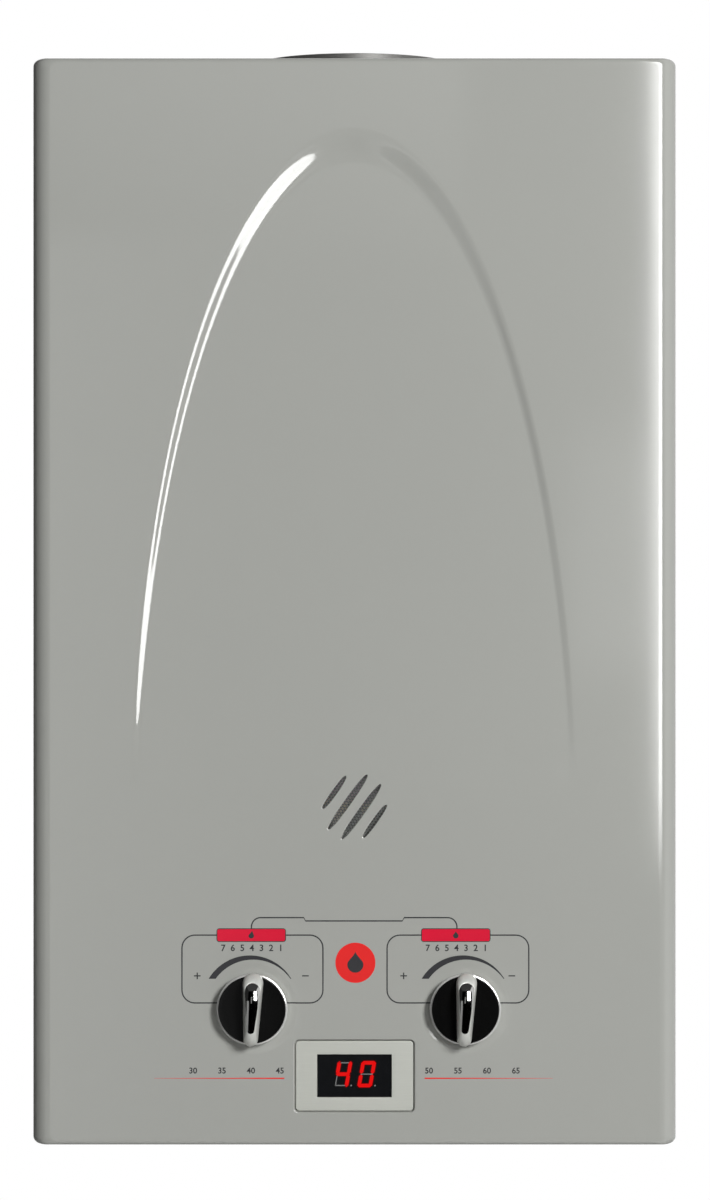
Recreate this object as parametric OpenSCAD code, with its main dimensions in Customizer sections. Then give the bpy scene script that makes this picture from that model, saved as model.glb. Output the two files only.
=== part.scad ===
// Tankless gas water heater for the wall, with natural draught
// The origin is the middle of the back, on the wall. X runs right, Y into the wall, Z up.

/* [Case] */
// Width of the case
case_w = 350; // [340:5:400]
// Height of the case
case_h = 590; // [580:5:660]
// Depth of the case, from the wall to the front
case_d = 165; // [160:5:200]
// Thickness of the cover's steel sheet
cover_sheet = 1; // [0.8:0.1:1.4]
// Radius of the cover's upright front edges
side_r = 10; // [6:1:12]
// Radius of the cover's top and bottom front edges
edge_r = 2.5; // [2:0.5:4]
// Radius of the cover's corners, seen from the front
corner_r = 4; // [3:0.5:6]

/* [Pressed arch] */
// Half the width of the arch at its foot
arch_half_w = 121; // [100:1:130]
// Rise of the arch from its foot to its apex
arch_rise = 388; // [340:2:390]
// Height of the arch's foot above the bottom of the case
arch_foot = 160; // [158:1:170]
// Depth of the pressing under its apex
arch_depth = 3; // [2:0.5:4]
// Width of the arch's flank at its sides
arch_flank_side = 4; // [2.5:0.5:6]
// Width of the arch's flank at its apex
arch_flank_top = 13; // [8:1:16]
// Height above the foot at which the pressing dies out
arch_fade = 30; // [20:5:60]

/* [Knobs] */
// Height of the knobs' axes above the bottom of the case
knob_up = 74; // [72:1:78]
// Distance between the axes of the two knobs
knob_pitch = 115.6; // [108:0.2:120]
// Distance by which the pair of knobs stands to the right of the middle
knob_shift = 2.3; // [0:0.1:4]
// Outer radius of a knob
knob_r = 19.2; // [17:0.2:21]
// Thickness of a knob's black disc
knob_t = 7; // [5:0.5:9]
// Height of the bar grip above the disc
grip_h = 11; // [8:1:14]
// Width of the bar grip at its head
grip_w = 11; // [9:0.5:13]
// Width of the bar grip at its foot
grip_foot_w = 8; // [6:0.5:9]
// Radius of the round dish under a knob
dish_r = 24; // [22.5:0.5:26]
// Depth of the round dish under a knob
dish_depth = 0.4; // [0.2:0.1:1.5]

/* [Display] */
// Height of the display's middle above the bottom of the case
display_up = 37.4; // [34:0.2:39]
// Width of the display's pocket
pocket_w = 64.5; // [60:0.5:70]
// Height of the display's pocket
pocket_h = 38.7; // [34:0.1:42]
// Depth of the display's pocket
pocket_depth = 2.6; // [2:0.2:3]
// Corner radius of the display's pocket
pocket_r = 2.5; // [1.5:0.5:4]
// Width of the display's window
window_w = 40.5; // [36:0.5:46]
// Height of the display's window
window_h = 23.3; // [20:0.1:26]

/* [Vent] */
// Height of the vent's middle above the bottom of the case
vent_up = 183.5; // [180:0.5:190]
// Distance between neighbouring slots
slot_pitch = 9; // [8:0.5:12]
// Slope of the slots
slot_slope = 54.6; // [45:0.2:65]
// Length of the two inner slots
slot_long = 36.3; // [30:0.1:40]
// Length of the two outer slots
slot_short = 21.6; // [18:0.1:26]
// Width of the inner slots
slot_wide = 3.6; // [3:0.1:5]
// Width of the outer slots
slot_narrow = 2.9; // [2.4:0.1:4]

/* [Flue] */
// Outside diameter of the flue collar
flue_d = 110; // [100:1:120]
// Distance of the flue's axis from the wall
flue_back = 77; // [72:1:90]
// Height of the collar's rim above the case
flue_rise = 6.5; // [4:0.5:30]

/* [Burner and heat exchanger] */
// Gap from the case's sides to the combustion chamber
core_side = 63; // [61:1:69]
// Depth of the combustion chamber
core_d = 108; // [102:1:110]
// Gap from the wall to the combustion chamber
core_back = 26; // [24:1:30]
// Height of the burner above the bottom of the case
burner_up = 130; // [128:1:140]
// Height of the burner's frame
burner_h = 70; // [64:2:76]
// Height of the draught hood
hood_h = 116.5; // [110:0.5:130]
// Height of the finned block
block_h = 70; // [60:2:80]
// Number of burner bars
bar_count = 14; // [10:1:16]
// Number of fins
fin_count = 32; // [20:1:36]
// Number of water tubes through the fins
pass_count = 6; // [4:2:6]
// Outside radius of the water tubes
tube_r = 6; // [5:0.5:6.5]

/* [Wall plate and connections] */
// Thickness of the chassis sheet
plate_t = 1.2; // [1:0.1:1.6]
// Distance of the wall holes from the case's sides
wall_hole_side = 35; // [30:1:50]
// Distance of the wall holes from the case's top and bottom
wall_hole_end = 40; // [34:1:60]
// Radius of the wall holes
wall_hole_r = 4; // [3:0.5:5]
// Radius of the threaded pipe ends
thread_r = 10.48; // [8:0.01:12]
// Length of the threaded pipe ends
thread_len = 15; // [12:1:15]
// Distance by which the pipe ends stand below the case
pipe_drop = 5; // [3:1:9]
// Distance of the pipe ends from the wall
pipe_back = 75; // [70:1:80]
// Height of the pipe shelf above the bottom of the case
shelf_up = 16; // [16:1:18]

/* [Hidden] */
$fn = 48;

// Overrun of every cut past the surface that it opens
cut = 1;
// Clearance between the cover and what stands inside it
cover_gap = 0.3;
// Clearance of pieces that move past each other
move_gap = 0.3;
// Running clearance of turning and sliding shafts in their bores
shaft_gap = 0.05;
// Depth by which forms of one solid run into each other
join = 0.5;

half_w = case_w / 2;
half_h = case_h / 2;
front_y = -case_d;

// Heights are counted from the bottom of the case
function up(height) = height - half_h;

// Cover
wall_gap = 2;
lip_depth = 14;
flue_notch_gap = 2;
screw_z_share = 0.68;
cover_screw_z = half_h * screw_z_share;
flange_d = 15;
cover_screw_back = 9;
cover_screw_r = 2;
cover_screw_head_r = 4.5;
cover_screw_head_t = 2.2;

// Arch
arch_x = 1.5;
arch_steps = 44;
// Shares of the flank's width and of its depth, from the rim to the floor
flank_width_shares = [-0.12, 0.14, 0.5, 0.86, 1];
flank_depth_shares = [0, 0.06, 0.5, 0.94, 1];
arch_lip = 0.05;

// Knobs
knob_xs = [knob_shift - knob_pitch / 2, knob_shift + knob_pitch / 2];
knob_z = up(knob_up);
spindle_r = 4;
spindle_flat = 2.8;
spindle_hole_r = spindle_r + 2.5 * move_gap + cover_sheet;
knob_seat_gap = 0.8;
knob_back_y = front_y + dish_depth - knob_seat_gap;
rim_w = 0.9;
disc_round = 1.5;
grip_over = 0.7;
// Shares of the grip's height, and how far its outline has drawn in to its crest there
grip_height_shares = [0.3, 0.8, 1];
grip_lean_shares = [0, 0.35, 0.95];
// The crest's round ends: places as shares of the knob's radius, radii as shares of the grip's widths
crest_head_share = 0.5;
crest_foot_share = 0.6;
crest_w_share = 0.38;
crest_foot_w_share = 0.25;
spindle_reach = 6;
spindle_depth = 16;

// Display
bezel_t = 1.2;
bezel_gap = 0.3;
window_t = 1.5;
window_margin = 3;
board_t = 1.6;
digits_t = 6;
board_margin = 1;
clip_w = 2.5;

// Vent
slot_power = 2.4;
slot_steps = 40;
vent_margin = 5;
mesh_t = 0.6;
mesh_hole_r = 0.6;
mesh_pitch = 1.8;

// Chassis
plate_x = half_w - cover_sheet - cover_gap;
plate_low = up(shelf_up);
plate_high = half_h - cover_sheet - cover_gap;
shelf_front_y = front_y + lip_depth + wall_gap + move_gap;
fold_h = 12;
shelf_lip_h = 8;
keyhole_r = 6;
keyhole_slot_r = 3;
keyhole_drop = 70;
wall_hole_x = half_w - wall_hole_side;
wall_hole_z = half_h - wall_hole_end;
rib_w = 24;
rib_d = 3;
rib_x = knob_pitch / 2;
louvre_w = 5;
louvre_len = 24;
louvre_r = 2;
louvre_pitch = 12;
louvre_y = -24;

// Combustion chamber, finned block and hood
core_w = case_w - 2 * core_side;
core_x = core_w / 2;
core_rear = -core_back;
core_front = core_rear - core_d;
core_y = (core_front + core_rear) / 2;
burner_z = up(burner_up);
chamber_z = burner_z + burner_h;
core_wall = 1;
hood_drop = 31;
hood_top_z = plate_high - plate_t - hood_drop;
hood_z = hood_top_z - hood_h;
block_z = hood_z - block_h;
chamber_h = block_z - chamber_z;
hood_neck_share = 0.55;
hood_neck_w = 128;
relief_share = 0.7;
relief_h = 16;
flue_y = -flue_back;
flue_r = flue_d / 2;
flue_wall = 0.8;
flue_flange_w = 6;
flue_flange_t = 1;
bracket_w = 30;
bracket_t = 2;
bracket_fold = 14;

// Water tubes
pass_pitch = core_d / pass_count;
pass_z = block_z + block_h / 2;
fin_t = 0.6;
fin_margin = 5;
fin_gap = 1;
bend_r = pass_pitch / 2;
pass_end_x = core_x + core_wall;
coil_gap = 1.5;
coil_bend = 2 * tube_r;
coil_x = core_x + coil_gap + tube_r;
coil_front_y = core_front - coil_gap - tube_r;
coil_rear_y = core_rear + coil_gap + tube_r;
coil_low_share = 0.32;
coil_high_share = 0.68;
coil_low_z = chamber_z + chamber_h * coil_low_share;
coil_high_z = chamber_z + chamber_h * coil_high_share;
riser_y_share = 0.32;
riser_y = core_front + core_d * riser_y_share;
climb_y_share = 0.68;
climb_y = core_front + core_d * climb_y_share;
first_pass_y = core_front + pass_pitch / 2;
last_pass_y = core_rear - pass_pitch / 2;
hot_side = 35;
hot_x = hot_side - half_w;
hot_turn_up = 30;
hot_turn_z = plate_low + hot_turn_up;
pipe_y = -pipe_back;
pipe_end_z = up(-pipe_drop);
pipe_wall = 3;
shank_step = 0.7;
shank_r = thread_r + shank_step;
shank_flange_w = 2.4;
nut_h = 5;
nut_r = 15.5;

// Burner
bar_pitch = (core_w - 2 * core_wall) / bar_count;
bar_t = 8;
bar_foot = 12;
bar_top_gap = 10;
bar_margin = 4;
bar_slot_w = 1.2;
bar_slots = 9;
frame_wall = 1.2;
frame_skirt = 16;
mouth_r = 3.4;
manifold_r = 6;
manifold_gap = 1.5;
manifold_y = core_front - manifold_gap - manifold_r;
manifold_up = 15;
manifold_z = burner_z + manifold_up;
jet_r = 2.2;
jet_hex_r = 3.6;
jet_hex_t = 2;
electrode_xs = [-8, 22];
sensor_x = 52;
ceramic_r = 3.5;
ceramic_len = 17;
wire_r = 1;
electrode_up = 14;
mount_strip = [22, 1.5, 12];

// Gas valve
gas_x = knob_xs[0];
gas_half_h = 29;
gas_low = knob_z - gas_half_h;
gas_high = knob_z + gas_half_h;
gas_half_w = 33;
valve_ahead = 45;
valve_d = 60;
valve_front_y = front_y + valve_ahead;
valve_rear_y = valve_front_y + valve_d;
gland_r = 8;
gland_len = 6;
feed_side = 22;
feed_up = 14;
feed_x = gas_x + feed_side;
feed_z = knob_z + feed_up;
solenoid_side = 20;
solenoid_x = gas_x - solenoid_side;
solenoid_r = 11;
solenoid_len = 22;
solenoid_in = 22;
solenoid_y = valve_rear_y - solenoid_in;
valve_cut = 3;
cap_t = 3;

// Water valve
water_x = knob_xs[1];
water_half_w = 16;
water_below = 27;
water_above = 21;
water_low = knob_z - water_below;
water_high = knob_z + water_above;
rod_y_mid = (valve_front_y + valve_rear_y) / 2;
drum_r = 26;
drum_flange_r = 30;
drum_flange_t = 4;
drum_t = 15;
drum_x = water_x - water_half_w;
drum_screws = 6;
drum_screw_r = 2;
drum_boss_r = 7;
drum_boss_len = 5;
outlet_y = riser_y;
outlet_len = 10;
outlet_r = 9;
outlet_up = 6;
outlet_z = knob_z + outlet_up;
drain_side = 6;
drain_in = 16;
drain_x = water_x + water_half_w + drain_side;
drain_y = valve_front_y + drain_in;
drain_r = 5;
drain_lug_r = 8;
drain_head_r = 8;
drain_head_h = 9;
drain_thread = 10;

// Push rod, spring, switch
rod_r = 3;
rod_travel = 4;
rod_seat = 10;
gas_boss_r = 6;
gas_boss_len = 6;
gas_face_x = gas_x + gas_half_w + gas_boss_len;
drum_face_x = drum_x - drum_t - drum_boss_len;
spring_room = 20;
collar_x = gas_face_x + spring_room;
collar_t = 4;
collar_r = 8;
spring_wire_r = 0.5;
spring_r = 4.6;
spring_turns = 6;
spring_steps = 12;
spring_sides = 6;
lever_arm = 14;
lever_w = 6;
lever_t = 1;
lever_pin_r = 1.2;
lever_lap = 1.5;
lever_z = knob_z + collar_r - lever_lap + lever_arm;
switch_w = 20;
switch_h = 10;
switch_d = 7;
switch_gap = 3;
switch_bracket_t = 1.5;

// Sensors
disc_r = 8;
disc_t = 6;
disc_ear_w = 24;
disc_ear_h = 8;
disc_ear_t = 1;
disc_tab_w = 2;
probe_r = 3.5;
probe_len = 18;

// Control box
control_w = 22;
control_d = 60;
control_h = 120;
control_up = 175;
control_z = up(control_up);
control_r = 2;
plug_count = 3;

// Batteries
battery_r = 16.6;
battery_len = 61;
battery_wall = 1.8;
battery_gap = 0.8;
battery_box_w = 4 * battery_r + 3 * battery_gap + 2 * battery_wall;
contact_room = 8;
battery_box_d = battery_len + contact_room + 2 * battery_wall;
battery_box_h = 2 * battery_r + 2 * battery_gap + battery_wall;
battery_side = 3;
battery_ahead = 6;
battery_right = plate_x - battery_side;
battery_left = battery_right - battery_box_w;
battery_front_y = shelf_front_y + battery_ahead;
battery_rear_y = battery_front_y + battery_box_d;
lid_t = 1.8;
lid_gap = 0.4;
lid_up = 1.5;
battery_low = up(lid_up + lid_t + lid_gap);
lid_pin_r = 1.2;
lid_knuckle_r = 2.6;
lid_pin_y = battery_rear_y + lid_knuckle_r + lid_gap;
lid_pin_z = battery_low - lid_gap - lid_t + lid_knuckle_r;
latch_w = 14;

steel = "#a3a59e";
dark_steel = "#55585a";
copper = "#b8734a";
brass = "#b99a4e";
zinc = "#b9bcbe";
black_plastic = "#151515";
grey_plastic = "#8d9096";

module block(low, high) {
    translate(low)
        cube(high - low);
}

module rod_x(x0, x1, y, z, r) {
    translate([x0, y, z])
        rotate([0, 90, 0])
            cylinder(h = x1 - x0, r = r);
}

module rod_y(y0, y1, x, z, r) {
    translate([x, y0, z])
        rotate([-90, 0, 0])
            cylinder(h = y1 - y0, r = r);
}

module rod_z(z0, z1, x, y, r) {
    translate([x, y, z0])
        cylinder(h = z1 - z0, r = r);
}

// A front view outline, drawn in X and Z, that fills the space from y0 back to y1
module slab(y0, y1) {
    translate([0, y1, 0])
        rotate([90, 0, 0])
            linear_extrude(height = y1 - y0)
                children();
}

// A side view outline, drawn in Y and Z, that fills the space from x0 to x1
module side_slab(x0, x1) {
    translate([x0, 0, 0])
        rotate([90, 0, 90])
            linear_extrude(height = x1 - x0)
                children();
}

module rounded_rect(w, h, r) {
    square([w - 2 * r, h], center = true);
    square([w, h - 2 * r], center = true);
    for (sx = [-1, 1], sy = [-1, 1])
        translate([sx * (w / 2 - r), sy * (h / 2 - r)])
            circle(r);
}

// Pipes whose corners are quarter bends; every run follows X, Y or Z
function unit(v) = v / norm(v);
function side_of(d) = abs(d.z) > 0 ? [1, 0, 0] : [0, 0, 1];

module pipe_run(a, b, r) {
    d = unit(b - a);
    s = side_of(d);
    t = cross(d, s);
    multmatrix([[s.x, t.x, d.x, a.x], [s.y, t.y, d.y, a.y], [s.z, t.z, d.z, a.z]])
        cylinder(h = norm(b - a), r = r);
}

module pipe_bend(corner, before, after, bend, r) {
    centre = corner - bend * before + bend * after;
    x = -after;
    y = before;
    z = cross(x, y);
    multmatrix([[x.x, y.x, z.x, centre.x], [x.y, y.y, z.y, centre.y], [x.z, y.z, z.z, centre.z]])
        rotate_extrude(angle = 90)
            translate([bend, 0])
                circle(r);
}

module pipe(path, bend, r) {
    last = len(path) - 1;
    for (i = [0:last - 1]) {
        d = unit(path[i + 1] - path[i]);
        start = path[i] + (i > 0 ? bend : 0) * d;
        end = path[i + 1] - (i < last - 1 ? bend : 0) * d;
        pipe_run(start, end, r);
        if (i < last - 1)
            pipe_bend(path[i + 1], d, unit(path[i + 2] - path[i + 1]), bend, r);
    }
}

// The case's outer form, drawn in by inset
module case_solid(inset) {
    r = side_r - inset;
    e = edge_r - inset;
    c = corner_r - inset;
    x = half_w - inset;
    z = half_h - inset;
    y = front_y + inset;
    rear = inset > 0 ? cut : -wall_gap;
    intersection() {
        translate([0, 0, -z])
            linear_extrude(height = 2 * z) {
                translate([-x, y + r])
                    square([2 * x, rear - y - r]);
                translate([r - x, y])
                    square([2 * (x - r), r + cut]);
                for (side = [-1, 1])
                    translate([side * (x - r), y + r])
                        circle(r);
            }
        side_slab(-half_w, half_w) {
            translate([y + e, -z])
                square([rear - y - e, 2 * z]);
            translate([y, e - z])
                square([e + cut, 2 * (z - e)]);
            for (side = [-1, 1])
                translate([y + e, side * (z - e)])
                    circle(e);
        }
        slab(front_y, cut)
            rounded_rect(2 * x, 2 * z, c);
    }
}

// A point of the pressed arch, at an angle along it and a share across its flank
function arch_angle(i) = let(low = asin(arch_fade / arch_rise)) low + (180 - 2 * low) * i / arch_steps;
function arch_depth_at(z) =
    let(low = up(arch_foot + arch_fade), high = up(arch_foot + arch_rise - arch_flank_top))
    arch_lip + (arch_depth - arch_lip) * (z - low) / (high - low);
function arch_point(i, ring) =
    let(
        share = flank_width_shares[ring],
        x = arch_x + (arch_half_w - share * arch_flank_side) * cos(arch_angle(i)),
        z = up(arch_foot) + (arch_rise - share * arch_flank_top) * sin(arch_angle(i)),
        y = ring == 0 ? -cut : arch_depth_at(z) * flank_depth_shares[ring]
    )
    [x, front_y + y, z];

// What the press takes out of the front: a tool with a flat, slightly tilted floor
module arch_tool() {
    rings = len(flank_width_shares);
    row = arch_steps + 1;
    points = [for (ring = [0:rings - 1], i = [0:arch_steps]) arch_point(i, ring)];
    flank = [
        for (ring = [0:rings - 2], i = [0:arch_steps - 1])
            let(a = ring * row + i, b = a + row)
            each [[a, a + 1, b], [a + 1, b + 1, b]]
    ];
    ends = [
        for (ring = [0:rings - 2])
            let(a = ring * row, b = a + row, c = a + arch_steps, d = c + row)
            each [[a, b, d], [a, d, c]]
    ];
    floor_start = (rings - 1) * row;
    floor_faces = [for (i = [1:arch_steps - 1]) [floor_start, floor_start + i, floor_start + i + 1]];
    cap = [for (i = [1:arch_steps - 1]) [0, i + 1, i]];
    polyhedron(points, concat(flank, ends, floor_faces, cap));
}

// The pressed forms of the front, drawn in by inset on the inner face
module front_pressings(inset) {
    translate([0, inset, 0])
        arch_tool();
    for (x = knob_xs)
        translate([x, front_y - cut, knob_z])
            rotate([-90, 0, 0])
                cylinder(
                    h = cut + dish_depth + inset,
                    r1 = dish_r + inset + cut,
                    r2 = dish_r + inset - dish_depth
                );
    translate([0, 0, up(display_up)])
        slab(front_y - cut, front_y + pocket_depth + inset)
            rounded_rect(pocket_w + 2 * inset, pocket_h + 2 * inset, pocket_r + inset);
}

// Outline of a slot: a superellipse, blunter at its ends than an ellipse
function slot_point(length, width, angle) = [
    length / 2 * sign(cos(angle)) * pow(abs(cos(angle)), 2 / slot_power),
    width / 2 * sign(sin(angle)) * pow(abs(sin(angle)), 2 / slot_power)
];

// The four slots of the vent: the outer two are shorter and narrower
function slot_length(i) = i == 0 || i == 3 ? slot_short : slot_long;
function slot_width(i) = i == 0 || i == 3 ? slot_narrow : slot_wide;

module slot_outlines() {
    translate([0, up(vent_up)])
        rotate(slot_slope)
            for (i = [0:3])
                translate([0, (i - 1.5) * slot_pitch])
                    polygon([
                        for (k = [0:slot_steps - 1])
                            slot_point(slot_length(i), slot_width(i), 360 * k / slot_steps)
                    ]);
}

// The pressed steel cover: open at the back and below, with a notch for the flue
module front_cover() {
    notch_r = flue_r + flue_notch_gap;
    color(steel)
        difference() {
            case_solid(0);
            front_pressings(0);
            difference() {
                case_solid(cover_sheet);
                front_pressings(cover_sheet);
            }
            block(
                [cover_sheet - half_w, front_y + lip_depth, -half_h - cut],
                [half_w - cover_sheet, cut, side_r - half_h]
            );
            rod_z(half_h - side_r, half_h + cut, 0, flue_y, notch_r);
            block([-notch_r, flue_y, half_h - side_r], [notch_r, cut, half_h + cut]);
            for (x = knob_xs)
                rod_y(front_y - cut, front_y + side_r, x, knob_z, spindle_hole_r);
            translate([0, 0, up(display_up)])
                slab(front_y, front_y + side_r)
                    square([window_w + 2 * window_margin, window_h + 2 * window_margin], center = true);
            slab(front_y - cut, front_y + side_r)
                slot_outlines();
            for (z = [-cover_screw_z, cover_screw_z]) {
                rod_x(-half_w - cut, half_w + cut, -cover_screw_back, z, cover_screw_r + move_gap);
                block(
                    [-half_w - cut, -cover_screw_back, z - cover_screw_r - move_gap],
                    [half_w + cut, cut, z + cover_screw_r + move_gap]
                );
            }
        }
}

// The frame around the display's window, let into its pocket
module display_bezel() {
    floor_y = front_y + pocket_depth;
    color("#b2b4ac")
        translate([0, 0, up(display_up)])
            difference() {
                slab(floor_y - bezel_t, floor_y)
                    rounded_rect(pocket_w - 2 * bezel_gap, pocket_h - 2 * bezel_gap, pocket_r - bezel_gap);
                slab(floor_y - bezel_t - cut, floor_y + cut)
                    square([window_w, window_h], center = true);
            }
}

// Smoked window behind the frame, in the cover's opening
module display_window() {
    floor_y = front_y + pocket_depth;
    color("#141416")
        translate([0, 0, up(display_up)])
            slab(floor_y, floor_y + window_t)
                square(
                    [window_w + 2 * window_margin - move_gap, window_h + 2 * window_margin - move_gap],
                    center = true
                );
}

// Circuit board with the two digits, clipped behind the window
module display_board() {
    face_y = front_y + pocket_depth + window_t;
    board_w = window_w + 4 * window_margin;
    board_h = window_h + 4 * window_margin;
    color("#2c5a35")
        translate([0, 0, up(display_up)]) {
            slab(face_y + digits_t, face_y + digits_t + board_t)
                square([board_w, board_h], center = true);
            slab(face_y, face_y + digits_t)
                square([window_w - board_margin, window_h - board_margin], center = true);
            for (side = [-1, 1])
                translate([side * (board_w - clip_w) / 2, 0, 0])
                    slab(front_y + pocket_depth + cover_sheet, face_y + digits_t)
                        square([clip_w, board_h], center = true);
        }
}

// Perforated sheet behind the vent's slots
module vent_mesh() {
    reach = slot_long + 2 * vent_margin;
    face_y = front_y + cover_sheet + max(0, arch_depth_at(up(vent_up) + reach / 2));
    color("#8f908a")
        difference() {
            slab(face_y, face_y + mesh_t)
                translate([0, up(vent_up)])
                    rotate(slot_slope)
                        square([reach, 3 * slot_pitch + 2 * vent_margin], center = true);
            slab(face_y - cut, face_y + mesh_t + cut)
                translate([0, up(vent_up)])
                    rotate(slot_slope)
                        for (i = [0:3], side = [-1, 1]) {
                            holes = floor((slot_length(i) - slot_width(i)) / mesh_pitch);
                            for (k = [0:holes - 1])
                                translate([
                                    (k - (holes - 1) / 2) * mesh_pitch,
                                    (i - 1.5) * slot_pitch + side * mesh_pitch / 2
                                ])
                                    circle(mesh_hole_r, $fn = 16);
                        }
        }
}

// Everything that fits between the cover's rounded corners, with the cover's clearance
module cover_room() {
    slab(front_y, cut)
        rounded_rect(2 * plate_x, 2 * plate_high, corner_r - cover_sheet);
}

// The plate's flat, its folded sides and the outsides of its ribs
module plate_forms() {
    block([-plate_x, -plate_t, plate_low], [plate_x, 0, plate_high]);
    for (side = [-1, 1]) {
        translate([side * (plate_x - plate_t / 2), -flange_d / 2, (plate_low + plate_high) / 2])
            cube([plate_t, flange_d, plate_high - plate_low], center = true);
        translate([side * rib_x, 0, 0])
            side_slab(-rib_w / 2, rib_w / 2)
                polygon([
                    [-plate_t, plate_low + 3 * fold_h],
                    [-plate_t - rib_d, plate_low + 3 * fold_h + rib_d],
                    [-plate_t - rib_d, plate_high - 3 * fold_h - rib_d],
                    [-plate_t, plate_high - 3 * fold_h]
                ]);
    }
}

// The sheet on the wall: folded sides, two pressed ribs, four holes and a keyhole
module rear_plate() {
    color(zinc)
        difference() {
            intersection() {
                cover_room();
                plate_forms();
            }
            for (side = [-1, 1])
                translate([side * rib_x, 0, 0])
                    side_slab(plate_t - rib_w / 2, rib_w / 2 - plate_t)
                        polygon([
                            [cut, plate_low + 3 * fold_h - cut],
                            [0, plate_low + 3 * fold_h + plate_t],
                            [-rib_d, plate_low + 3 * fold_h + rib_d + plate_t],
                            [-rib_d, plate_high - 3 * fold_h - rib_d - plate_t],
                            [0, plate_high - 3 * fold_h - plate_t],
                            [cut, plate_high - 3 * fold_h + cut]
                        ]);
            for (x = [-wall_hole_x, wall_hole_x], z = [-wall_hole_z, wall_hole_z])
                rod_y(-plate_t - cut, cut, x, z, wall_hole_r);
            rod_y(-plate_t - cut, cut, 0, plate_high - keyhole_drop, keyhole_r);
            rod_y(
                -plate_t - cut, cut, 0, plate_high - keyhole_drop + keyhole_r + keyhole_slot_r, keyhole_slot_r
            );
            block(
                [-keyhole_slot_r, -plate_t - cut, plate_high - keyhole_drop],
                [keyhole_slot_r, cut, plate_high - keyhole_drop + keyhole_r + keyhole_slot_r]
            );
        }
}

// Folded roof of the chassis, with the collar's hole
module top_plate() {
    rear = -plate_t;
    x = plate_x - plate_t;
    color(zinc)
        difference() {
            intersection() {
                cover_room();
                union() {
                    block([-x, shelf_front_y, plate_high - plate_t], [x, rear, plate_high]);
                    block([-x, rear - plate_t, plate_high - fold_h], [x, rear, plate_high]);
                    block([-x, shelf_front_y, plate_high - fold_h], [x, shelf_front_y + plate_t, plate_high]);
                }
            }
            rod_z(plate_high - fold_h, plate_high + cut, 0, flue_y, flue_r);
        }
}

// Folded shelf that carries the pipe ends and closes the case below
module pipe_shelf() {
    rear = -plate_t;
    x = plate_x - plate_t;
    z = plate_low;
    color(zinc)
        difference() {
            union() {
                block([-x, shelf_front_y, z], [x, rear, z + plate_t]);
                block([-x, rear - plate_t, z], [x, rear, z + fold_h]);
                block([-x, shelf_front_y, z], [x, shelf_front_y + plate_t, z + shelf_lip_h]);
            }
            for (pipe_x = [hot_x, gas_x, water_x])
                rod_z(z - cut, z + plate_t + cut, pipe_x, pipe_y, shank_r);
            rod_z(z - cut, z + plate_t + cut, drain_x, drain_y, drain_head_r + move_gap);
            block(
                [battery_left - battery_gap, battery_front_y - battery_gap, z - cut],
                [battery_right + battery_gap, lid_pin_y + 2 * lid_knuckle_r, z + plate_t + cut]
            );
            for (i = [-2:2])
                translate([i * louvre_pitch, louvre_y, z - cut])
                    linear_extrude(height = plate_t + 2 * cut)
                        rounded_rect(louvre_w, louvre_len, louvre_r);
        }
}

// Angle brackets that hold the hood and the burner off the wall plate
module core_brackets() {
    rear = -plate_t;
    color(zinc)
        for (z = [burner_z + burner_h / 2, hood_z + bracket_w], side = [-1, 1])
            translate([side * (core_x - bracket_fold), 0, z])
                mirror([side > 0 ? 1 : 0, 0, 0]) {
                    block([-bracket_t, core_rear, -bracket_w / 2], [0, rear, bracket_w / 2]);
                    block([-bracket_fold, rear - bracket_t, -bracket_w / 2], [0, rear, bracket_w / 2]);
                    block(
                        [-bracket_fold, core_rear, -bracket_w / 2],
                        [0, core_rear + bracket_t, bracket_w / 2]
                    );
                }
}

// Pan head with a cross slot left to the finish
module screw_head(r, h) {
    rotate_extrude()
        polygon([[0, 0], [r, 0], [r, h / 3], [r * 0.8, h * 0.8], [r * 0.4, h], [0, h]]);
}

module chassis_screws() {
    head_y = -2 * plate_t;
    color(zinc)
        for (x = [-wall_hole_x, 0, wall_hole_x], z = [plate_low + fold_h / 2, plate_high - fold_h / 2])
            translate([x, head_y, z])
                rotate([90, 0, 0])
                    screw_head(fold_h / 4, fold_h / 6);
}

// Shouldered screws in the plate's sides: the cover's open slots slide on them
module cover_screws() {
    x = plate_x - plate_t;
    head_x = half_w + move_gap;
    color(zinc)
        for (side = [-1, 1], z = [-cover_screw_z, cover_screw_z])
            translate([0, -cover_screw_back, z])
                rotate([0, side * 90, 0]) {
                    translate([0, 0, plate_x])
                        cylinder(h = head_x - plate_x, r = cover_screw_r);
                    translate([0, 0, head_x])
                        screw_head(cover_screw_head_r, cover_screw_head_t);
                    translate([0, 0, x - cover_screw_head_t])
                        cylinder(h = cover_screw_head_t, r = cover_screw_head_r, $fn = 6);
                }
}

// Half outline of the draught hood, seen from the front
function hood_outline(inset) =
    let(
        neck_z = hood_z + (hood_top_z - hood_z) * hood_neck_share,
        x = core_x - inset,
        n = hood_neck_w / 2 - inset,
        top = hood_top_z - inset,
        low = inset > 0 ? hood_z - cut : hood_z
    )
    [[-x, low], [x, low], [n, neck_z], [n, top], [-n, top], [-n, neck_z]];

// Draught hood: a sheet form open below, with a relief slot at the back
module draught_hood() {
    relief_z = hood_z + (hood_top_z - hood_z) * relief_share;
    color(zinc)
        difference() {
            slab(core_front, core_rear)
                polygon(hood_outline(0));
            slab(core_front + core_wall, core_rear - core_wall)
                polygon(hood_outline(core_wall));
            rod_z(hood_top_z - side_r, hood_top_z + cut, 0, flue_y, flue_r - flue_wall);
            for (x = [-1, 1])
                translate([x * hood_neck_w / 4, core_rear, relief_z])
                    cube([hood_neck_w / 2 - 4 * core_wall, side_r, relief_h], center = true);
        }
}

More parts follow.
